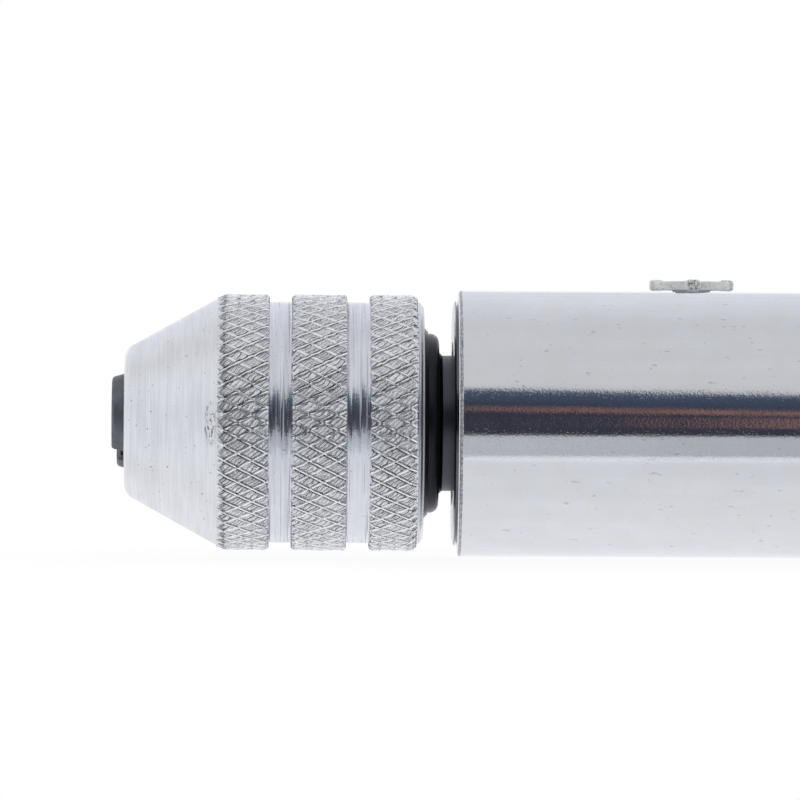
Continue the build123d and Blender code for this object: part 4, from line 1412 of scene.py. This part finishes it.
@dataclass
class Selector:
    """The cast three-place selector: a disc with four plump lugs, on its stem.

    Attributes:
        place: Its axis, along the tool.
        underside: Height of the disc's and lugs' underside over the tool's axis.
        web_radius: Of the disc.
        web_thickness: From the underside to the disc's top.
        web_lift: How much higher than the lugs the disc starts.
        radius: Over the lugs.
        lugs: How many there are.
        lug_length: Outwards.
        lug_width: Round the knob.
        lug_height: Upwards.
        lug_bevel: Of a lug's edges, before they are melted.
        bevel_steps: Faces across that bevel.
        stem_radius: Of the stem.
        stem_bottom: Height of its lower end.
        stem_overlap: How far it goes up into the disc.
        disc_sides: Sides of the disc and the stem.
        voxel: Grain of the mesh that joins the parts.
        melting: Rounds of smoothing that melt the corners.
    """

    place: float = 44.22
    underside: float = 10.45
    web_radius: float = 2.95
    web_thickness: float = 0.74
    web_lift: float = 0.05
    radius: float = 3.28
    lugs: int = 4
    lug_length: float = 1.1
    lug_width: float = 1.15
    lug_height: float = 0.86
    lug_bevel: float = 0.24
    bevel_steps: int = 4
    stem_radius: float = 1.45
    stem_bottom: float = 8.5
    stem_overlap: float = 0.1
    disc_sides: int = 64
    voxel: float = 0.055
    melting: int = 6

    def disc(self, radius: float, bottom: float, top: float) -> bpy.types.Object:
        """Makes an upright cylinder on the knob's axis.

        Args:
            radius: Its radius.
            bottom: Height of its lower end.
            top: Height of its upper end.

        Returns:
            The new part.
        """
        bpy.ops.object.select_all(action="DESELECT")
        bpy.ops.mesh.primitive_cylinder_add(vertices=self.disc_sides, radius=radius * MM,
                                            depth=(top - bottom) * MM,
                                            location=(self.place * MM, 0, (top + bottom) / 2 * MM))
        bpy.ops.object.transform_apply(location=True)
        return bpy.context.active_object

    def lug(self) -> bpy.types.Object:
        """Makes one bevelled lug at the origin.

        Returns:
            The new part.
        """
        bpy.ops.object.select_all(action="DESELECT")
        bpy.ops.mesh.primitive_cube_add(size=1)
        bpy.ops.transform.resize(value=in_metres((self.lug_length, self.lug_width, self.lug_height)))
        bpy.ops.object.transform_apply(scale=True)
        bpy.ops.object.mode_set(mode="EDIT")
        bpy.ops.mesh.select_all(action="SELECT")
        bpy.ops.mesh.bevel(offset=self.lug_bevel * MM, segments=self.bevel_steps)
        bpy.ops.object.mode_set(mode="OBJECT")
        return bpy.context.active_object

    def set_lugs(self) -> list[bpy.types.Object]:
        """Models one lug and copies it round the rim.

        Returns:
            The lugs in their places.
        """
        lugs = [self.lug()]
        while len(lugs) < self.lugs:
            lugs.append(lugs[0].copy())
            lugs[-1].data = lugs[0].data.copy()
            bpy.context.scene.collection.objects.link(lugs[-1])
        out = Vector((self.radius - self.lug_length / 2, 0, 0)) * MM
        centre = Vector((self.place, 0, self.underside + self.lug_height / 2)) * MM
        for number, lug in enumerate(lugs):
            turn = Matrix.Rotation(2 * math.pi * number / self.lugs, 4, "Z")
            lug.data.transform(Matrix.Translation(centre) @ turn @ Matrix.Translation(out))
        return lugs

    def build(self) -> bpy.types.Object:
        """Joins disc, lugs and stem, and lets a remesh melt their corners like a casting's.

        Returns:
            The new piece.
        """
        web_bottom, web_top = self.underside + self.web_lift, self.underside + self.web_thickness
        parts = [self.disc(self.web_radius, web_bottom, web_top),
                 self.disc(self.stem_radius, self.stem_bottom, self.underside + self.stem_overlap)]
        parts += self.set_lugs()
        bpy.ops.object.select_all(action="DESELECT")
        for part in parts:
            part.select_set(True)
        bpy.context.view_layer.objects.active = parts[0]
        bpy.ops.object.join()
        knob = bpy.context.active_object
        knob.name = knob.data.name = "selector_knob_casting"
        for kind, settings in (("REMESH", {"mode": "VOXEL", "voxel_size": self.voxel * MM}),
                               ("SMOOTH", {"iterations": self.melting, "factor": 0.5})):
            modifier = knob.modifiers.new(kind.lower(), kind)
            for name, value in settings.items():
                setattr(modifier, name, value)
            bpy.ops.object.modifier_apply(modifier=modifier.name)
        bpy.ops.object.shade_smooth()
        return knob

    def dress(self, materials: Materials) -> None:
        """Puts the casting on the selector's body. The barrel shows no mirror image of it.

        Args:
            materials: The built finishes by slot.
        """
        knob = self.build()
        paint(knob, materials["cast_zinc"])
        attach(knob, "selector")
        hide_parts("selector_knob")
        knob.visible_glossy = False
        report(knob)


@dataclass
class PlainParts:
    """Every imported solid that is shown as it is, in its own finish.

    Attributes:
        corner: Angle in degrees from which an edge stays sharp.
    """

    corner: float = 28.0

    def dress(self, materials: Materials) -> None:
        """Paints the solids and smooths their curved faces.

        Args:
            materials: The built finishes by slot.
        """
        for row in frame["record"]["subparts"]:
            solid = frame["nodes"][row["node"]]
            if solid.hide_render:
                continue
            paint(solid, materials[row["material_slot"]])
            select_only(solid)
            bpy.ops.object.shade_smooth_by_angle(angle=math.radians(self.corner))
            report(solid)


@dataclass
class Studio:
    """Camera, world and floor.

    Directions of the tent are degrees: round the tool's axis from level behind the camera, upwards
    positive, and sideways towards the handle.

    Attributes:
        eye: The camera's place in mm.
        target: What it looks at.
        lens: Focal length in mm.
        sensor: Width in mm of the sensor.
        clip: Nearest and farthest distance in metres that the camera shows.
        roll: Turn about its own axis in degrees.
        floor_height: Of the floor's surface under the tool's axis.
        floor_gap: How much lower it lies, so that nothing touches it.
        floor_middle: Its middle, along the tool.
        floor_size: Its side in metres.
        floor_reach: Distance from its middle where it has faded for the camera.
        floor_glow: How far the camera sees it as plain white.
        floor_colour: Of its matt surface.
        white: Of its glow, and of what the camera sees behind the tool.
        sky: What polished metal sees at the tent's ends.
        tent: Colour of the tent, from below behind the tool all the way round.
        front: Sideways reach over which the tent goes over into its ends.
        flag: Around-the-axis reach in which the dark flag's edges lean.
        flag_lean: How far they lean, and the sideways reach over which they do.
        upper_streak: Around-the-axis reach of the upper brown streak.
        lower_streak: The same of the lower one.
        streak_side: Sideways reach of both.
        streak_stretch: Their unevenness, sideways and round the axis, in features for each degree.
        streak_colour: Of both.
        shade: Around-the-axis reach of a grey panel.
        shade_colour: Of that panel.
        shade_share: How far it shows.
    """

    eye: Triple = (11.2, -700.0, 1.8)
    target: Triple = (21.5, 0.0, 1.8)
    lens: float = 403.2
    sensor: float = 36.0
    clip: Point = (0.05, 20.0)
    roll: float = 0.35
    floor_height: float = -10.4
    floor_gap: float = 0.2
    floor_middle: float = 40.0
    floor_size: float = 4.0
    floor_reach: float = 70.0
    floor_glow: float = 0.94
    floor_colour: str = "#eaeaeb"
    white: str = "#ffffff"
    sky: str = "#f4f6fb"
    tent: tuple[tuple[float, str], ...] = (
        (-180, "#ffffff"), (-150, "#fbfbff"), (-110, "#f8f7f9"), (-60, "#f0f0f2"), (-38, "#e9e9ec"),
        (-33.5, "#ebecf0"), (-31, "#f6f9fd"), (-28.6, "#f0f3f8"), (-27.6, "#d0d2d7"), (-10.4, "#d4d5d8"),
        (-9.6, "#3f3c46"), (-2, "#3a3e4b"), (14, "#363a46"), (19, "#434d5f"), (26, "#4b566a"),
        (29.0, "#5c6573"), (29.9, "#d6d7d9"), (36, "#e0e0e1"), (98, "#e0e0e3"), (128, "#ebecf1"),
        (142, "#f2f3f9"), (146, "#e9eaf2"), (149, "#f3f4fb"), (152, "#ebecf5"), (155, "#f4f5fd"),
        (157.5, "#e0e3ee"), (159.5, "#e6e8f2"), (160.5, "#ffffff"), (180, "#ffffff"),
    )
    front: Point = (40.0, 54.0)
    flag: Edges = ((-8.0, 15.0), (34.0, 60.0))
    flag_lean: Edges = ((0.9, 4.0), (-1.2, 3.6))
    upper_streak: Edges = ((10.0, 11.0), (14.6, 15.6))
    lower_streak: Edges = ((-3.0, -1.5), (8.0, 9.2))
    streak_side: Edges = ((0.6, 1.2), (5.2, 6.2))
    streak_stretch: Triple = (0.3, 2.2, 1.0)
    streak_colour: str = "#94716a"
    shade: Edges = ((-27.9, -27.2), (-10.6, -10.0))
    shade_colour: str = "#bdbfc4"
    shade_share: float = 0.85

    def place_camera(self) -> None:
        """Places and aims the camera, and makes it the scene's."""
        camera = bpy.data.objects.new("camera", bpy.data.cameras.new("camera"))
        bpy.context.scene.collection.objects.link(camera)
        camera.data.lens = self.lens
        camera.data.sensor_width = self.sensor
        camera.data.clip_start, camera.data.clip_end = self.clip
        eye, target = Vector(self.eye) * MM, Vector(self.target) * MM
        look = (target - eye).to_track_quat("-Z", "Y").to_matrix().to_4x4()
        roll = Matrix.Rotation(math.radians(self.roll), 4, "Z")
        camera.matrix_world = Matrix.Translation(eye) @ look @ roll
        bpy.context.scene.camera = camera
        log.info("%s stands at %s mm", camera.name, self.eye)

    def light(self) -> None:
        """Puts up a bright tent, with a dark flag that polished metal shows as a band."""
        scene = bpy.context.scene
        scene.world = bpy.data.worlds.new("tent")
        scene.world.use_nodes = True
        n = Nodes(scene.world.node_tree)
        x, y, z = n.add(Kind.APART, n.add(Kind.DIRECTION)).node.outputs
        degrees = math.degrees(1.0)
        around = n.add(Kind.TIMES, n.add(Kind.ARCTANGENT, z, n.add(Kind.TIMES, y, -1.0)), degrees)
        side = n.add(Kind.TIMES, n.add(Kind.ARCSINE, x), degrees)
        reach, lean = self.flag_lean
        lean = n.add(Kind.TIMES, n.add(Kind.STEP, side, *reach, *lean), n.between(around, self.flag))
        around = n.add(Kind.PLUS, around, lean)
        front = n.add(Kind.STEP, n.add(Kind.SIZE, side), *self.front, 1.0, 0.0)
        colour = n.add(Kind.MIX, front, self.sky, self.tent_colour(n, around, side))
        shown = n.add(Kind.LIT_SKY, colour, 1.0)
        plain = n.add(Kind.LIT_SKY, self.white, 1.0)
        n.add(Kind.SKY, n.add(Kind.EITHER, n.add(Kind.CAMERA), shown, plain))
        scene.view_settings.view_transform = "Standard"
        log.info("%s lights the tool", scene.world.name)

    def tent_colour(self, n: Nodes, around: Socket, side: Socket) -> Socket:
        """What metal sees of the tent: its colours all round, with brown streaks and a grey panel.

        Args:
            n: The world's nodes.
            around: Direction round the tool's axis in degrees.
            side: Direction sideways in degrees.

        Returns:
            The colour.
        """
        seen = n.add(Kind.GRADIENT, n.add(Kind.OVER, n.add(Kind.PLUS, around, 180.0), 360.0))
        stops = seen.node.color_ramp.elements
        for stop, (degree, tint) in zip(stops, (self.tent[0], self.tent[-1])):
            stop.position, stop.color = (degree + 180) / 360, linear(tint)
        for degree, tint in self.tent[1:-1]:
            stops.new((degree + 180) / 360).color = linear(tint)
        upper = n.between(around, self.upper_streak)
        lower = n.add(Kind.TIMES, n.between(around, self.lower_streak), n.add(Kind.STEP, side, 2.8, 3.3))
        upper = n.add(Kind.TIMES, upper, n.add(Kind.STEP, side, 1.0, 2.0, 0.6, 1.0))
        brown = n.add(Kind.HIGHEST, upper, lower)
        drawn_out = n.add(Kind.STRETCHED, n.add(Kind.TOGETHER, side, around), self.streak_stretch)
        streaks = n.add(Kind.NOISE, drawn_out, 1.0, 2.0, 0.6)
        brown = n.add(Kind.TIMES, brown, n.add(Kind.STEP, streaks, 0.35, 0.6, 0.6, 1.0))
        brown = n.add(Kind.TIMES, brown, n.between(side, self.streak_side))
        seen = n.add(Kind.MIX, brown, seen, self.streak_colour)
        grey = n.add(Kind.TIMES, n.between(around, self.shade), n.add(Kind.STEP, side, 1.4, 2.4, 0.4, 1.0))
        return n.add(Kind.MIX, n.add(Kind.TIMES, grey, self.shade_share), seen, self.shade_colour)

    def lay_floor(self) -> None:
        """Lays a plain white floor that keeps a soft shadow and fades out for the camera."""
        bpy.ops.object.select_all(action="DESELECT")
        place = in_metres((self.floor_middle, 0.0, self.floor_height - self.floor_gap))
        bpy.ops.mesh.primitive_plane_add(size=self.floor_size, location=place)
        floor = bpy.context.active_object
        floor.name = "floor"
        floor.visible_glossy = False
        # Matt paper with a glow of its own: white to the camera, with only a trace of shadow.
        material = bpy.data.materials.new("matt_white_floor")
        material.use_nodes = True
        n = Nodes(material.node_tree)
        paper = n.add(Kind.MATT, self.floor_colour)
        glow = n.add(Kind.GLOW, self.white, 1.0)
        camera = n.add(Kind.CAMERA)
        both = n.add(Kind.EITHER, n.add(Kind.TIMES, camera, self.floor_glow), paper, glow)
        away = n.add(Kind.LENGTH, n.add(Kind.PLACE))
        faded = n.add(Kind.STEP, away, 0.3 * self.floor_reach * MM, self.floor_reach * MM)
        n.add(Kind.SURFACE, n.add(Kind.EITHER, n.add(Kind.TIMES, camera, faded), both, n.add(Kind.CLEAR)))
        paint(floor, material)
        report(floor)


def main() -> None:
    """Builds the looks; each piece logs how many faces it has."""
    materials = {slot: finish.build() for slot, finish in FINISHES.items()}
    ChuckNut().dress(materials)
    Selector().dress(materials)
    PlainParts().dress(materials)
    studio = Studio()
    studio.place_camera()
    studio.light()
    studio.lay_floor()


if __name__ == "__main__":
    main()
